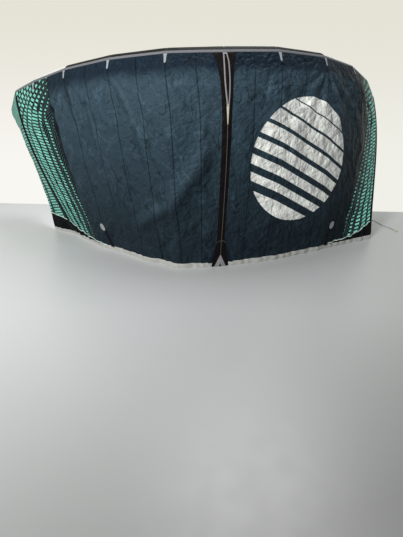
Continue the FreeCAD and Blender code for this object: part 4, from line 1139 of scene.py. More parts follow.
# %% Seams where the tips begin
mesh = bmesh.new()
for side in (-1, 1):
    line = station_line(side, "seam")

    def seam_spot(p, q):
        return beside(*line(min(max(q, .002), .975)), (2 * p - 1) * SEAM_HALF * 0.7)

    sew(mesh, 4, 170, seam_spot, felled)
tip_seams = piece_from("tip_seams", mesh, NAVY_SEAM, thickness=SEAM_THICK)

# %% [markdown]
# ## Centre reinforcement
#
# The strut pushes on the middle of the cloth, so a black strip covers it from the tube to the
# ground.  It is wide at the top, narrow in the middle, and flares again into two legs either side
# of a triangular patch.  Two lines of piping start together at the tube, bow apart and meet again,
# and a pale dart carries on down from there.

# %% Strip, piping, dart and line
STRIP_EDGE = through((TOP_SHARE, .089), (.06, .060), (.13, .046), (.26, .037), (.86, .037), (.93, .056),
                     (.976, .072), (1.0, .076))
STRIP_RIGHT = through((TOP_SHARE, .080), (.06, .056), (.13, .043), (.26, .031), (.50, .025), (.84, .025),
                      (.93, .054), (.976, .071), (1.0, .076))
STRIP_TOP = LOW + TAPE
OVER = STRIP_TOP + LOW + TAPE
HEM_STEP, STEP_START = .0036, .962


def over_hem(f):
    """What lies on the strip's foot has to step over the hem."""
    return HEM_STEP * smooth(STEP_START, WEDGE_FOOT, f)


strip_finish = plain_ripstop("centre_strip", "black_ripstop", display(16, 13, 13))
mesh = bmesh.new()
sew(mesh, 18, 220, along_rib(0, TOP_SHARE, 1.0, lambda f: -STRIP_EDGE(f), STRIP_RIGHT),
    lambda p, q: STRIP_TOP + over_hem(mix(TOP_SHARE, 1, q)))
strip_piece = piece_from("middle_strip", mesh, strip_finish, thickness=TAPE)
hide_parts("centre_strip")

PIPE_MEET, PIPE, PIPE_RISE, PIPE_CUT = .245, .0044, .0010, .42
# The short tape across the piping's two heads: its foot, its sides and its cut size.
BRIDGE_FOOT, BRIDGE_SIDES, BRIDGE_CUT = .010, (-.021, .010), (.03, .017)
DART_TOP, DART_FOOT = PIPE_MEET - .012, .318
LINE_HALF, LINE_FOOT, LINE_RISE, LINE_CUT, LINE_THICK = .0017, .97, .0006, (.005, 1.1), .0010
SUNK = .0008    # how far the edges of a raised tape are pressed in
LEFT_BOW = through((TOP_SHARE, -.015), (.036, -.016), (.127, -.0165), (.195, -.0095), (PIPE_MEET, -.001))
RIGHT_BOW = through((TOP_SHARE, .001), (.012, .007), (.036, .0165), (.127, .0180), (.195, .0135),
                    (PIPE_MEET, .005))


def raised(height):
    return lambda p, q: OVER - SUNK + height * math.sin(math.pi * p)


lines = bmesh.new()
for bow in (softened(LEFT_BOW), softened(RIGHT_BOW)):
    sew(lines, 4, 60, along_rib(0, TOP_SHARE, PIPE_MEET, lambda f: bow(f) - PIPE, lambda f: bow(f) + PIPE),
        raised(PIPE_RISE), table=(2 * PIPE, PIPE_CUT))
sew(lines, 6, 4, along_rib(0, TOP_SHARE, BRIDGE_FOOT, *BRIDGE_SIDES), raised(TAPE), table=BRIDGE_CUT)
piping = piece_from("middle_piping", lines, woven("strip_piping", "grey_dacron", display(134, 131, 134)),
                    thickness=TAPE)
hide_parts("centre_piping")

mesh = bmesh.new()
sew(mesh, 2, 120, along_rib(0, DART_FOOT, LINE_FOOT, -LINE_HALF, LINE_HALF), raised(LINE_RISE),
    table=LINE_CUT)
middle_line = piece_from("middle_line", mesh, woven("line_stitch", "grey_dacron", display(92, 88, 86)),
                         thickness=LINE_THICK)

mesh = bmesh.new()
DART_EDGE = through((DART_TOP, .0035), (PIPE_MEET, .0085), (DART_FOOT, .0026))
sew(mesh, 4, 30, along_rib(0, DART_TOP, DART_FOOT, lambda f: -DART_EDGE(f), DART_EDGE), OVER)
dart_finish = woven("dart_tape", "cream_dacron", display(184, 186, 170))
dart = piece_from("middle_dart", mesh, dart_finish, thickness=TAPE)
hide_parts("centre_dart")

# %% Dark wings beside the legs of the strip
WING_TOP, WING_LAP, WING_THICK = .872, .002, .0006
WING_EDGE = through((WING_TOP, .038), (.93, .078), (WEDGE_FOOT, .116))
mesh = bmesh.new()
for side in (-1, 1):
    edges = (lambda f: side * (STRIP_EDGE(f) - WING_LAP)), (lambda f: side * WING_EDGE(f))
    sew(mesh, 8, 30, along_rib(0, WING_TOP, WEDGE_FOOT, *edges[::side]), LOW + TAPE * 0.6)
wings = piece_from("strip_wings", mesh, plain_ripstop("wing_ripstop", "navy_ripstop", display(17, 27, 38)),
                   thickness=WING_THICK)

# %% Patch at the foot, with its notch, and the arc of stitches above it
PATCH_TOP, PATCH_HALF, NOTCH_HALF, NOTCH_TOP = .935, .052, .012, .980
PATCH_EDGE = through((PATCH_TOP, .0025), (1.0, PATCH_HALF))
NOTCH_EDGE = through((PATCH_TOP, .0), (NOTCH_TOP, .0), (1.0, NOTCH_HALF))
mesh = bmesh.new()
for side in (-1, 1):
    inner, outer = (lambda f: side * NOTCH_EDGE(f)), (lambda f: side * PATCH_EDGE(f))
    edges = (inner, outer) if side > 0 else (outer, inner)
    sew(mesh, 6, 26, along_rib(0, PATCH_TOP, 1.0, *edges),
        lambda p, q: OVER + LOW + TAPE + over_hem(mix(PATCH_TOP, 1, q)))
patch = piece_from("ground_patch", mesh, woven("patch_tape", "grey_dacron", display(132, 131, 134)),
                   thickness=TAPE)
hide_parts("trailing_edge_patch")

mesh = bmesh.new()
ARC_SHARE, ARC_HALF, ARC_RISE = .872, .040, .015
THREAD_SHARE, THREAD_LOW, THREAD_THICK = .0012, .0006, .0008
for side in (-1, 1):
    near, far = sorted((0, side * ARC_HALF))

    def arc_spot(p, q):
        reach = mix(near, far, p)
        f = ARC_SHARE - ARC_RISE * (1 - (reach / ARC_HALF) ** 2) ** 0.5 + q * THREAD_SHARE
        return beside(0, f, reach)

    sew(mesh, 16, 1, arc_spot, STRIP_TOP + THREAD_LOW)
arc_stitch = piece_from("strip_stitches", mesh, woven("arc_thread", "grey_dacron", display(112, 114, 104)),
                        thickness=THREAD_THICK)

# %% [markdown]
# ## Tabs, batten pockets and tip sleeves
#
# Grey tabs cover the seams where they meet the tube, because there the cloth would tear first.
# Near the ground a short batten sits in a pocket under an oval patch, and a long one in a sleeve
# stiffens each tip.  A pocket is a flat flange with a swollen middle, so its height across the
# strip is a smooth bump and not a box.

# %% Tabs over the seams
TAB_ROOT, TAB_FOOT, TAB_THICK, TAB_LOW, TAB_RISE = .0135, .046, .0011, .0021, .0006
TAB_EDGE = through((TOP_SHARE, TAB_ROOT), (.007, TAB_ROOT * .95), (.013, .0095), (.040, .0078),
                   (TAB_FOOT, .0030))
mesh = bmesh.new()
for station in (-4, -3, -2, -1, 1, 2, 3, 4):
    sew(mesh, 8, 24, along_rib(station, TOP_SHARE, TAB_FOOT, lambda f: -TAB_EDGE(f), TAB_EDGE),
        lambda p, q: TAB_LOW + TAB_RISE * math.sin(math.pi * p))
tab_finish = woven("tab_tape", "grey_dacron", display(146, 148, 152))
tabs = piece_from("seam_tab_skins", mesh, tab_finish, thickness=TAB_THICK)
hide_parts("seam_tabs")


# %% A webbing finish
def webbing(name, slot, tone, width, line_tone=None):
    """Chevron webbing; line_tone is the tone of the thread down its middle and along its edges."""
    finish = Finish(name, slot, Specular_IOR_Level=0.06)
    x, y = finish.cloth_place()
    ribs = abs((x * 900.0).fract() - 0.5) * 0.0003
    chevrons = ((y + abs(x - width / 2)) * 420.0).fract().ramp(0.2, 0.8) * 0.0002
    colour = finish.shade(tone, 0.8 + finish.grain(finish.join(x, y), 60.0, 3.0) * 0.4)
    height = ribs + chevrons
    if line_tone:
        line = abs(x - width / 2) < width * 0.045
        edge = abs(x - width / 2) > width * 0.42
        colour = finish.mix(line.larger(edge * 0.7), colour, line_tone)
    return finish.surface(colour=colour, roughness=0.62, height=height)


# %% Swell over a batten
def bulge(low, rise, flange, crest, end):
    """Height over a batten: a flat flange at both sides, a swollen middle, and closed ends."""
    return lambda p, q: low + rise * smooth(flange, crest, min(p, 1 - p)) * smooth(0, end, min(q, 1 - q))


# %% Pockets of the short battens
POCKET_HALF, POCKET_LAP, POCKET_LOW, POCKET_RISE, POCKET_CUT = .0215, .004, .0040, .0030, .20
SKIN_THICK = .0010
pocket_finish = webbing("pocket_webbing", "black_webbing", display(10, 11, 14), 2 * POCKET_HALF,
                        display(40, 45, 50))
mesh = bmesh.new()
for side in (-1, 1):
    lower, upper = (station * side for station in BATTENS[side])

    def pocket_spot(p, q):
        f = mix(POCKET_SHARE - POCKET_LAP, BAND_SHARE + POCKET_LAP, q)
        line = mix(lower, upper, (BAND_SHARE - f) / (BAND_SHARE - POCKET_SHARE))
        return beside(line, f, (2 * p - 1) * POCKET_HALF)

    sew(mesh, 12, 40, pocket_spot, bulge(POCKET_LOW, POCKET_RISE, .08, .36, .05),
        table=(2 * POCKET_HALF, POCKET_CUT))
pockets = piece_from("pocket_skins", mesh, pocket_finish, thickness=SKIN_THICK)
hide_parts("batten_pockets")


# %% Oval patches over the pocket heads
def lay(mesh, verts, u, f, turn, stretched):
    """Carries a shape that was made flat at the origin to the cloth, its Z becoming the offset."""
    layer = mesh.loops.layers.uv.get("cloth") or mesh.loops.layers.uv.new("cloth")
    spin = Matrix.Rotation(turn, 3, "Z")
    length = rib_at(u).length
    for vert in verts:
        flat = spin @ Vector((vert.co.x, vert.co.y * stretched, 0))
        height = vert.co.z
        for loop in vert.link_loops:
            loop[layer].uv = vert.co.x, vert.co.y
        v, g = beside(u, f - flat.y / length, flat.x)
        vert.co = cloth_point(v, g, height)


OVAL_RADIUS, OVAL_THICK = .0275, .0008
oval_finish = woven("oval_patch", "grey_dacron", display(140, 143, 147))
swollen = through((0, .0098), (OVAL_RADIUS * .55, .0096), (OVAL_RADIUS * .85, .0092), (OVAL_RADIUS, .0080))
OVAL_STEPS, OVAL_TURN, OVAL_STRETCH = (.0015, .0015, .0040, .0060), math.radians(-18), 1.30
mesh = bmesh.new()
for side in (-1, 1):
    before = set(mesh.verts)
    rim = bmesh.ops.create_circle(mesh, cap_ends=True, segments=40, radius=OVAL_RADIUS)["verts"]
    face = rim[0].link_faces[0]
    for width in OVAL_STEPS:
        bmesh.ops.inset_region(mesh, faces=[face], thickness=width, use_even_offset=True)
    disc = [vert for vert in mesh.verts if vert not in before]
    for vert in disc:
        vert.co.z = swollen(vert.co.xy.length)
    lay(mesh, disc, side * BATTENS[side][1], POCKET_SHARE, side * OVAL_TURN, OVAL_STRETCH)
ovals = piece_from("oval_patches", mesh, oval_finish, thickness=OVAL_THICK)

# %% Sleeves of the long tip battens
SLEEVE_WIDTH, SLEEVE_OUTER, SLEEVE_LOW, SLEEVE_RISE = .044, .014, .0010, .0046
SLEEVE_TOP, SLEEVE_FOOT = .028, .970
sleeve_finish = webbing("sleeve_webbing", "black_webbing", display(10, 11, 13), SLEEVE_WIDTH,
                        display(52, 56, 58))
mesh = bmesh.new()
for side in (-1, 1):
    near, far = sorted((side * SLEEVE_OUTER, side * (SLEEVE_OUTER - SLEEVE_WIDTH)))
    sew(mesh, 10, 180, along_rib(side * SLEEVE_STATION, SLEEVE_TOP, SLEEVE_FOOT, near, far),
        bulge(SLEEVE_LOW, SLEEVE_RISE, .06, .34, .01),
        table=(SLEEVE_WIDTH, rib_at(side * SLEEVE_STATION).length))
sleeves = piece_from("sleeve_skins", mesh, sleeve_finish, thickness=SKIN_THICK)
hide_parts("tip_batten_sleeves")

# %% [markdown]
# ## The inflated tube and strut
#
# Both are sleeves of heavy woven cloth around a bladder.  Each is cut from panels that meet in
# sewn mitres, so the outline is a chain of straight cones, a little pinched and puckered at every
# mitre and slightly fuller between them.  A circle is drawn once and its edge is extruded ring by
# ring, each ring being carried to its place on the mitre frames.


# %% Sweeping a ring of edges
def sweep(mesh, rings, stretch_at):
    """A tube through lists of places.  stretch_at gives each ring's metres along the sleeve."""
    layer = mesh.loops.layers.uv.get("cloth") or mesh.loops.layers.uv.new("cloth")
    count = len(rings[0])
    verts = bmesh.ops.create_circle(mesh, segments=count, radius=1)["verts"]
    ring_of = {}
    for k, (vert, place) in enumerate(zip(verts, rings[0])):
        vert.co, ring_of[vert] = place, (0, k)
    edges = [edge for edge in mesh.edges if all(vert in ring_of for vert in edge.verts)]
    for n, places in enumerate(rings[1:], 1):
        made = bmesh.ops.extrude_edge_only(mesh, edges=edges)["geom"]
        fresh = {item for item in made if isinstance(item, bmesh.types.BMVert)}
        for vert in fresh:
            around = (edge.other_vert(vert) for edge in vert.link_edges)
            k = next(ring_of[old][1] for old in around if old not in fresh)
            vert.co, ring_of[vert] = places[k], (n, k)
        edges = [item for item in made if isinstance(item, bmesh.types.BMEdge)
                 and all(vert in fresh for vert in item.verts)]
    middle = rings[len(rings) // 2]
    steps = [(b - a).length for a, b in zip(middle, middle[1:])]
    pitch = sum(steps) / len(steps)
    for face in {face for vert in ring_of for face in vert.link_faces}:
        ks = [ring_of[loop.vert][1] for loop in face.loops]
        for loop, k in zip(face.loops, ks):
            wrapped = k + count if max(ks) - min(ks) > 1 and k == 0 else k
            loop[layer].uv = stretch_at[ring_of[loop.vert][0]], wrapped * pitch
    return ring_of


def close_ends(mesh):
    open_edges = [edge for edge in mesh.edges if len(edge.link_faces) == 1]
    bmesh.ops.holes_fill(mesh, edges=open_edges, sides=0)
    bmesh.ops.recalc_face_normals(mesh, faces=mesh.faces)


# %% Sleeve of the leading edge
AROUND, STEPS = 80, 22
PINCH, PINCH_REACH, GATHER, GATHER_REACH = .0013, .006, .0009, .035
CLOSURE_LENGTH, CLOSURE_RADIUS, CLOSURE_RINGS, CLOSURE_FOLDS, FOLD_DEPTH = .045, .016, 6, 11, .035


def puckers(angle, beyond, n):
    """Pinch and gathers beside a mitre; beyond is the distance from it in metres."""
    gather = math.sin(angle * 17 + n * 2.1) * 0.6 + math.sin(angle * 29 + n) * 0.4
    fading = math.exp(-beyond / GATHER_REACH) * smooth(0, .008, beyond)
    return -PINCH * math.exp(-(beyond / PINCH_REACH) ** 2) + GATHER * gather * fading


def casing_ring(sign, i, t):
    """Ring of the casing at share t of segment i, from the centre."""
    a, b = RINGS[sign][i], RINGS[sign][i + 1]
    length, places = SEGMENT_LENGTHS[i], []
    for k in range(AROUND):
        degrees = 360 * k / AROUND
        angle = math.radians(degrees)
        near = min(t, 1 - t) * length
        n = i if t < 0.5 else i + 1
        out = casing_swell(sign, i, t, angle) + puckers(angle, near, n)
        near_place = a.centre + a.radial(degrees) * (a.radius + out)
        far_place = b.centre + b.radial(degrees) * (b.radius + out)
        places.append(mix(near_place, far_place, t))
    return places


def closure_ring(sign, t):
    """Ring of the tip closure, drawn together into gathers towards its end."""
    ring, places = RINGS[sign][TIP], []
    for k in range(AROUND):
        angle = 2 * math.pi * k / AROUND
        gathered = 1 + FOLD_DEPTH * t * math.sin(angle * CLOSURE_FOLDS)
        radius = mix(ring.radius, CLOSURE_RADIUS, t ** 0.9) * gathered
        outer = ring.centre + ring.radial(math.degrees(angle)) * radius
        places.append(outer + ring.normal * CLOSURE_LENGTH * t)
    return places


def tube_shares():
    """Steps along one segment, closer together beside its mitres."""
    return [n / STEPS + .5 / STEPS * -math.sin(2 * math.pi * n / STEPS) for n in range(1, STEPS + 1)]


rings, metres = [], []
for sign in (-1, 1):
    side_rings, side_metres, done = [], [], 0.0
    for i, length in enumerate(SEGMENT_LENGTHS):
        for t in tube_shares():
            side_rings.append(casing_ring(sign, i, t))
            side_metres.append(sign * (done + t * length))
        done += length
    for n in range(1, CLOSURE_RINGS + 1):
        side_rings.append(closure_ring(sign, n / CLOSURE_RINGS))
        side_metres.append(sign * (done + CLOSURE_LENGTH * n / CLOSURE_RINGS))
    if sign < 0:
        rings, metres = side_rings[::-1], side_metres[::-1]
    else:
        rings, metres = rings + [casing_ring(1, 0, 0)] + side_rings, metres + [0.0] + side_metres
MIDDLE_RING = len(rings) // 2
print("casing rings", len(rings))


# %% Frames on the tube, for the valves and tabs
def frame_at(place, z, x):
    z = z.normalized()
    x = (x - z * x.dot(z)).normalized()
    return Matrix.Translation(place) @ Matrix((x, z.cross(x), z)).transposed().to_4x4()


def tube_frame(sign, station, degrees):
    """On the tube's surface: Z is radial, and X runs along the tube towards the tip."""
    i = int(station)
    a, b, t = RINGS[sign][i], RINGS[sign][i + 1], station - i
    radial = mix(a.radial(degrees), b.radial(degrees), t).normalized()
    return frame_at(mix(a.centre, b.centre, t) + radial * mix(a.radius, b.radius, t), radial,
                    b.centre - a.centre)


INFLATE, DEFLATE = tube_frame(1, .55, 200), tube_frame(-1, .5, 200)

# %% The casing, opened under the two valves
# The middle is black up to a mitre on each side, and the tips are white.
BLACK_SEGMENTS = {-1: 3, 1: 2}
STITCH_ASIDE, STITCH_HALF, STITCH_PITCH, STITCH_SHARE, STITCH_PROUD = .007, 0.0006, 0.0045, 0.62, 0.0004
casing_finish = Finish("casing_weave", "black_dacron", Specular_IOR_Level=0.05)
tip_casing_finish = Finish("tip_casing_weave", "white_dacron", Specular_IOR_Level=0.2)


def dress_casing(finish, mitres, tone, thread):
    """Heavy woven cloth: twill, soft dents, and double stitching beside each mitre."""
    x, y = finish.cloth_place()
    twill = ((x + y) * 1100.0).sine() * 0.00004
    place = finish.join(x, y)
    dents = finish.grain(place, 14.0, 3.0) * 0.0035 + finish.grain(place, 60.0) * 0.0005
    rows = 0.0
    for mitre in mitres:
        for row in (-STITCH_ASIDE, STITCH_ASIDE):
            rows = (abs(x - (mitre + row)) < STITCH_HALF) + rows
    stitch = rows * ((y / STITCH_PITCH).fract() < STITCH_SHARE)
    wear_and_glint = finish.shade(tone, 0.82 + finish.grain(place, 22.0, 3.0) * 0.36)
    colour = finish.mix(stitch, wear_and_glint, thread)
    finish.surface(colour=colour, roughness=0.52 + stitch * 0.2, height=twill + dents + stitch * STITCH_PROUD)


MITRES = [sign * sum(SEGMENT_LENGTHS[:n]) for n in range(1, TIP + 1) for sign in (-1, 1)] + [0.0]
dress_casing(casing_finish, MITRES, display(20, 22, 22), display(104, 106, 108))
dress_casing(tip_casing_finish, MITRES, display(208, 208, 202), display(120, 124, 124))
ends = [MIDDLE_RING + sign * BLACK_SEGMENTS[sign] * STEPS for sign in (-1, 1)]
shares = {"leading_edge_casing": (ends[0], ends[1] + 1), "tip_casing_left": (0, ends[0] + 1),
          "tip_casing_right": (ends[1], len(rings))}
VALVE_HOLES, HOLE_DEPTH, CASING_THICK = ((INFLATE, .020), (DEFLATE, .024)), .03, .0012
for name, (first, last) in shares.items():
    mesh = bmesh.new()
    sweep(mesh, rings[first:last], metres[first:last])
    close_ends(mesh)
    for frame_here, radius in VALVE_HOLES:
        places = ((face, frame_here.inverted() @ face.calc_center_median()) for face in list(mesh.faces))
        doomed = [face for face, place in places if place.xy.length < radius and abs(place.z) < HOLE_DEPTH]
        bmesh.ops.delete(mesh, geom=doomed, context="FACES")
    weave = casing_finish if name == "leading_edge_casing" else tip_casing_finish
    piece_from(name, mesh, weave, thickness=CASING_THICK, sharp=50)
for sign, word in SIDES:
    black = BLACK_SEGMENTS[sign]
    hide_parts(*(f"casing_{word}_{n}" for n in range(1, black + 1)))
    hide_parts(*(f"casing_{word}_{n}" for n in range(black + 1, TIP + 1)))
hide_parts("tip_closures")

# %% Sleeve of the strut
STRUT_FRONT, STRUT_END, STRUT_PANELS, PANEL_ROWS, STRUT_AROUND = .014, .962, 8, 14, 64
PANEL_BELLY, COLLAR, COLLAR_END, TUBE_CLEARANCE, LATEST_START = .0012, .0020, (.11, .17), .0004, .25


def strut_axis(f):
    rib = RIBS[1][0]
    return rib.point(f) - rib.normal(f) * strut_stand_off(f)


def strut_spot(f, degrees, out=0.0):
    rib, tangent = RIBS[1][0], strut_axis(f + .002) - strut_axis(f - .002)
    turned = frame_at(strut_axis(f), tangent, rib.out_top).to_3x3()
    angle = math.radians(degrees)
    return strut_axis(f) + turned @ Vector((math.cos(angle), math.sin(angle), 0)) * (strut_radius(f) + out)


def clear_of_tube(place):
    """Distance to the surface of the leading edge near the centre, positive outside."""
    nearest = 9.0
    for sign in (-1, 1):
        a, b = RINGS[sign][0], RINGS[sign][1]
        run = b.centre - a.centre
        t = min(max((place - a.centre).dot(run) / run.length_squared, 0.0), 1.0)
        nearest = min(nearest, (place - mix(a.centre, b.centre, t)).length - mix(a.radius, b.radius, t))
    return nearest


def strut_start(degrees):
    """Chord share at which this line of the strut leaves the tube."""
    low, high = STRUT_FRONT, LATEST_START
    for _ in range(18):
        middle = (low + high) / 2
        inside = clear_of_tube(strut_spot(middle, degrees)) < TUBE_CLEARANCE
        low, high = (middle, high) if inside else (low, middle)
    return high


def collar(f):
    """The sleeve is doubled near the tube, over the round front end of its bladder."""
    return COLLAR * (1 - smooth(*COLLAR_END, f))


starts = [strut_start(360 * k / STRUT_AROUND) for k in range(STRUT_AROUND)]
rings, metres = [], []
ROWS = STRUT_PANELS * PANEL_ROWS
panel_share = (STRUT_END - STRUT_FRONT) / STRUT_PANELS
for n in range(ROWS + 1):
    places = []
    for k, start in enumerate(starts):
        f = mix(start, STRUT_END, n / ROWS)
        panel = (f - STRUT_FRONT) / panel_share
        beyond = abs(panel - round(panel)) * panel_share * rib_at(0).length
        angle = 2 * math.pi * k / STRUT_AROUND
        full = PANEL_BELLY * math.sin(math.pi * (panel % 1.0)) * smooth(-.9, -.2, -math.cos(angle))
        out = full + collar(f) + puckers(angle, beyond, round(panel)) * 0.6
        places.append(strut_spot(f, 360 * k / STRUT_AROUND, out))
    rings.append(places)
    metres.append(mix(sum(starts) / len(starts), STRUT_END, n / ROWS) * rib_at(0).length)
strut_finish = Finish("strut_weave", "black_dacron", Specular_IOR_Level=0.1)
strut_mitres = [(STRUT_FRONT + n * panel_share) * rib_at(0).length for n in range(1, STRUT_PANELS)]
dress_casing(strut_finish, strut_mitres, display(32, 34, 37), display(112, 114, 116))
mesh = bmesh.new()
sweep(mesh, rings, metres)
close_ends(mesh)
strut = piece_from("strut_sleeve", mesh, strut_finish, sharp=50)
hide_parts("strut_casing")
print("strut leaves the tube at", round(min(starts), 3), "to", round(max(starts), 3), "of the chord")

# %% [markdown]
# ## Webbing tabs with eyelets
#
# Lines are tied to short tongues of webbing.  Each tongue is a flat outline with a round hole: the
# space between the outline and the hole is filled, given its thickness, and the hole is bound with
# a dark eyelet, which is a ring of small section spun round the hole.


# %% A tongue with an eyelet
def tongue(mesh, place, half, low, high, eye_at, eye, thick, rounding):
    """Flat in X and Y of the given frame, from low to high along Y, with its back on the frame."""
    layer = mesh.loops.layers.uv.get("cloth") or mesh.loops.layers.uv.new("cloth")
    spots = ((-half, low, 0), (half, low, 0), (half, high, 0), (-half, high, 0))
    corners = [mesh.verts.new(spot) for spot in spots]
    for pair in zip(corners, corners[1:] + corners[:1]):
        mesh.edges.new(pair)
    bmesh.ops.bevel(mesh, geom=corners[2:], offset=rounding, segments=6, profile=0.5, affect="VERTICES",
                    material=-1)
    outline = [edge for edge in mesh.edges if not edge.link_faces and edge.is_valid]
    hole = bmesh.ops.create_circle(mesh, segments=24, radius=eye,
                                   matrix=Matrix.Translation((0, eye_at, 0)))["verts"]
    hole_edges = list({edge for vert in hole for edge in vert.link_edges})
    filled = bmesh.ops.triangle_fill(mesh, edges=list(set(outline) | set(hole_edges)), use_beauty=True)
    faces = [item for item in filled["geom"] if isinstance(item, bmesh.types.BMFace)]
    flat = {vert for face in faces for vert in face.verts}
    raised_geom = bmesh.ops.extrude_face_region(mesh, geom=faces)["geom"]
    top = {item for item in raised_geom if isinstance(item, bmesh.types.BMVert)}
    for vert in top:
        vert.co.z += thick
    everything = flat | top
    for face in {face for vert in everything for face in vert.link_faces}:
        for loop in face.loops:
            loop[layer].uv = loop.vert.co.x + half, loop.vert.co.y
    bmesh.ops.recalc_face_normals(mesh, faces=list({face for vert in everything for face in vert.link_faces}))
    bmesh.ops.transform(mesh, matrix=place, verts=list(everything))


EYELET_LIP, EYELET_PROUD = .0011, .0006


def eyelet(mesh, place, eye_at, eye, thick):
    """Rolled ring of an eyelet, spun about the middle of its hole."""
    stand = Matrix.Translation((eye + EYELET_PROUD, eye_at, 0)) @ Matrix.Rotation(math.pi / 2, 4, "X")
    verts = bmesh.ops.create_circle(mesh, segments=10, radius=EYELET_LIP, matrix=stand)["verts"]
    for vert in verts:
        vert.co.z = thick / 2 + vert.co.z * (thick / 2 + EYELET_PROUD) / EYELET_LIP
    edges = list({edge for vert in verts for edge in vert.link_edges})
    before = set(mesh.verts)
    bmesh.ops.spin(mesh, geom=verts + edges, cent=(0, eye_at, 0), axis=(0, 0, 1), angle=2 * math.pi,
                   steps=28, use_merge=True)
    ring = set(verts) | (set(mesh.verts) - before)
    ring = {vert for vert in ring if vert.is_valid}
    bmesh.ops.recalc_face_normals(mesh, faces=list({face for vert in ring for face in vert.link_faces}))
    bmesh.ops.transform(mesh, matrix=place, verts=list(ring))


tongue_finish = webbing("tongue_webbing", "black_webbing", display(30, 31, 34), .026)
eyelet_finish = Finish("eyelet_metal", "black_webbing", Metallic=1.0, Specular_IOR_Level=0.5)
eyelet_place = eyelet_finish.space()
tarnish, scuffs = eyelet_finish.grain(eyelet_place, 300.0, 3.0), eyelet_finish.grain(eyelet_place, 160.0)
eyelet_finish.surface(colour=eyelet_finish.shade(display(120, 122, 126), 0.8 + tarnish * 0.4),
                      roughness=0.32 + scuffs * 0.2)

# %% Bridle tabs
BRIDLE_STATIONS, BRIDLE_ANGLE = (1.5, 2.6, 4.4), 285
BRIDLE_HALF, BRIDLE_REACH, BRIDLE_EYE, BRIDLE_CORNER, WEBBING = .013, .026, .005, .004, .003
BRIDLE_SUNK, FOOT_FLANGE, FOOT_CROWN, FOOT_HEIGHT, FOOT_LIFT = .002, .0032, .0018, .005, .0005
tabs_mesh, rings_mesh = bmesh.new(), bmesh.new()
for sign in (-1, 1):
    for station in BRIDLE_STATIONS:
        base = tube_frame(sign, station, BRIDLE_ANGLE)
        # The tongue stands on the tube: its Y is the tube's radial Z, and its thickness lies along Y.
        place = base @ Matrix.Translation((0, WEBBING / 2, 0)) @ Matrix.Rotation(math.pi / 2, 4, "X")
        tongue(tabs_mesh, place, BRIDLE_HALF, -BRIDLE_SUNK, BRIDLE_REACH, BRIDLE_REACH - 2 * BRIDLE_EYE,
               BRIDLE_EYE, WEBBING, BRIDLE_CORNER)
        eyelet(rings_mesh, place, BRIDLE_REACH - 2 * BRIDLE_EYE, BRIDLE_EYE, WEBBING)
        foot = bmesh.ops.create_cone(tabs_mesh, cap_ends=True, segments=40, radius1=BRIDLE_HALF + FOOT_FLANGE,
                                     radius2=BRIDLE_HALF + FOOT_CROWN, depth=FOOT_HEIGHT)["verts"]
        bmesh.ops.transform(tabs_mesh, matrix=base @ Matrix.Translation((0, 0, FOOT_LIFT)), verts=foot)
bridles = piece_from("bridle_webbing", tabs_mesh, tongue_finish, sharp=40)
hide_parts("bridle_tabs")

# %% Tongues at the tip corners
ANCHOR_LENGTH, ANCHOR_REACH, ANCHOR_HALF, ANCHOR_EYE, ANCHOR_CORNER = .046, .026, .012, .004, .005


def anchor_frame(sign):
    """At the tip corner: X away from the cloth, halfway between its two edges, and Z outwards."""
    rib, inner = RIBS[sign][TIP], RIBS[sign][5.5]
    corner = rib.point(1)
    chord, edge = (rib.point(0.9) - corner).normalized(), (inner.point(1) - corner).normalized()
    plane = chord.cross(edge).normalized()
    if plane.dot(rib.out_foot) < 0:
        plane = -plane
    return frame_at(corner + plane * (BAND_PROUD + LOW), plane, -chord - edge)


mesh = bmesh.new()
for sign in (-1, 1):
    place = anchor_frame(sign) @ Matrix.Rotation(-math.pi / 2, 4, "Z")
    tongue(mesh, place, ANCHOR_HALF, ANCHOR_REACH - ANCHOR_LENGTH, ANCHOR_REACH, ANCHOR_REACH / 2, ANCHOR_EYE,
           WEBBING, ANCHOR_CORNER)
    eyelet(rings_mesh, place, ANCHOR_REACH / 2, ANCHOR_EYE, WEBBING)
anchors = piece_from("anchor_webbing", mesh, tongue_finish, sharp=40)
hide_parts("pigtail_anchors")
piece_from("eyelet_rings", rings_mesh, eyelet_finish, sharp=60)

# %% [markdown]
# ## Moulded parts and bladders
#
# The valves, the transfer tube with its clamp, the battens and the strut's foot are hard parts, and
# the imported mesh already has their shape.  They keep it and get a finish: moulding grain, a little
# dust in patches, and the milky film of the bladders.


# %% Finishes of the imported parts
def moulded(name, slot, tone, roughness, grain=220.0, depth=.00006):
    finish = Finish(name, slot)
    place = finish.space()
    spark, dust = finish.grain(place, grain, 4.0), finish.grain(place, 18.0, 3.0)
    return finish.surface(colour=finish.shade(tone, 0.88 + dust * 0.24), roughness=roughness + dust * 0.16,
                          height=spark * depth)


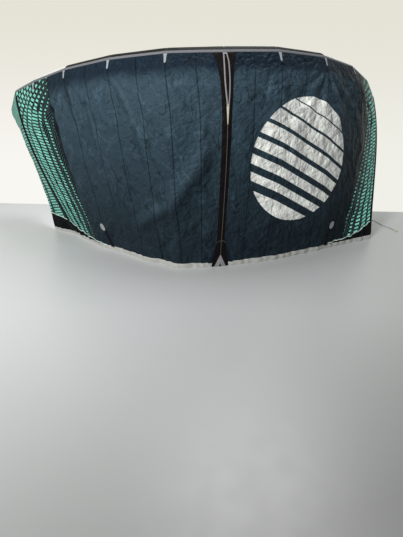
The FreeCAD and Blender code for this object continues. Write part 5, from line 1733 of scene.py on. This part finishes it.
def bladder_film():
    finish = Finish("bladder_film", "bladder_film", Specular_IOR_Level=0.5)
    place = finish.space()
    wrinkles = finish.cells(finish.warp(place, 8.0, 0.05), 18.0).smaller(0.2) * 0.006
    return finish.surface(colour=finish.shade(display(206, 210, 214), 0.92 + finish.grain(place, 6.0) * 0.1),
                          roughness=0.34, height=wrinkles)


def drawn_steel():
    finish = Finish("drawn_steel", "pin_steel", Metallic=1.0)
    streaks = finish.grain(finish.stretch(finish.space(), (60.0, 900.0, 900.0)), 1.0, 3.0)
    return finish.surface(colour=finish.shade(display(172, 173, 176), 0.85 + streaks * 0.3),
                          roughness=0.25 + streaks * 0.15)


PACKED = {
    "bladder_film": bladder_film(),
    "batten_plastic": moulded("pultruded_batten", "batten_plastic", display(48, 49, 50), 0.40),
    "cap_rubber": moulded("foot_rubber", "cap_rubber", display(34, 34, 35), 0.66, 500.0, .00012),
    "valve_white": moulded("valve_white_plastic", "valve_white", display(214, 214, 210), 0.36),
    "valve_dark": moulded("valve_dark_plastic", "valve_dark", display(38, 40, 43), 0.38),
    "pin_steel": drawn_steel(),
}
NODE_FINISH = {
    "leading_edge_bladder": "bladder_film", "strut_bladder": "bladder_film",
    "trailing_edge_battens": "batten_plastic", "tip_battens": "batten_plastic",
    "strut_end_cap": "cap_rubber", "inflate_valve_base": "valve_white",
    "deflate_valve_base": "valve_white", "transfer_tube": "valve_white",
    "inflate_valve_cap": "valve_dark", "deflate_valve_cap": "valve_dark",
    "inflate_valve_plunger": "valve_dark", "transfer_clamp": "valve_dark", "clamp_slider": "valve_dark",
    "valve_hinge_pin": "pin_steel",
}
for node, finish_name in NODE_FINISH.items():
    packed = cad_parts[node]
    packed.data.materials.clear()
    packed.data.materials.append(PACKED[finish_name].material)
print("packed parts dressed:", len(NODE_FINISH))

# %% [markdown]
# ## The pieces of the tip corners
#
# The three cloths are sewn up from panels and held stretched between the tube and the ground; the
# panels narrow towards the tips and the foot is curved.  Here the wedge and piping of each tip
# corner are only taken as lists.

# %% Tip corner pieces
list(corners["left"])
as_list(corners["right"])
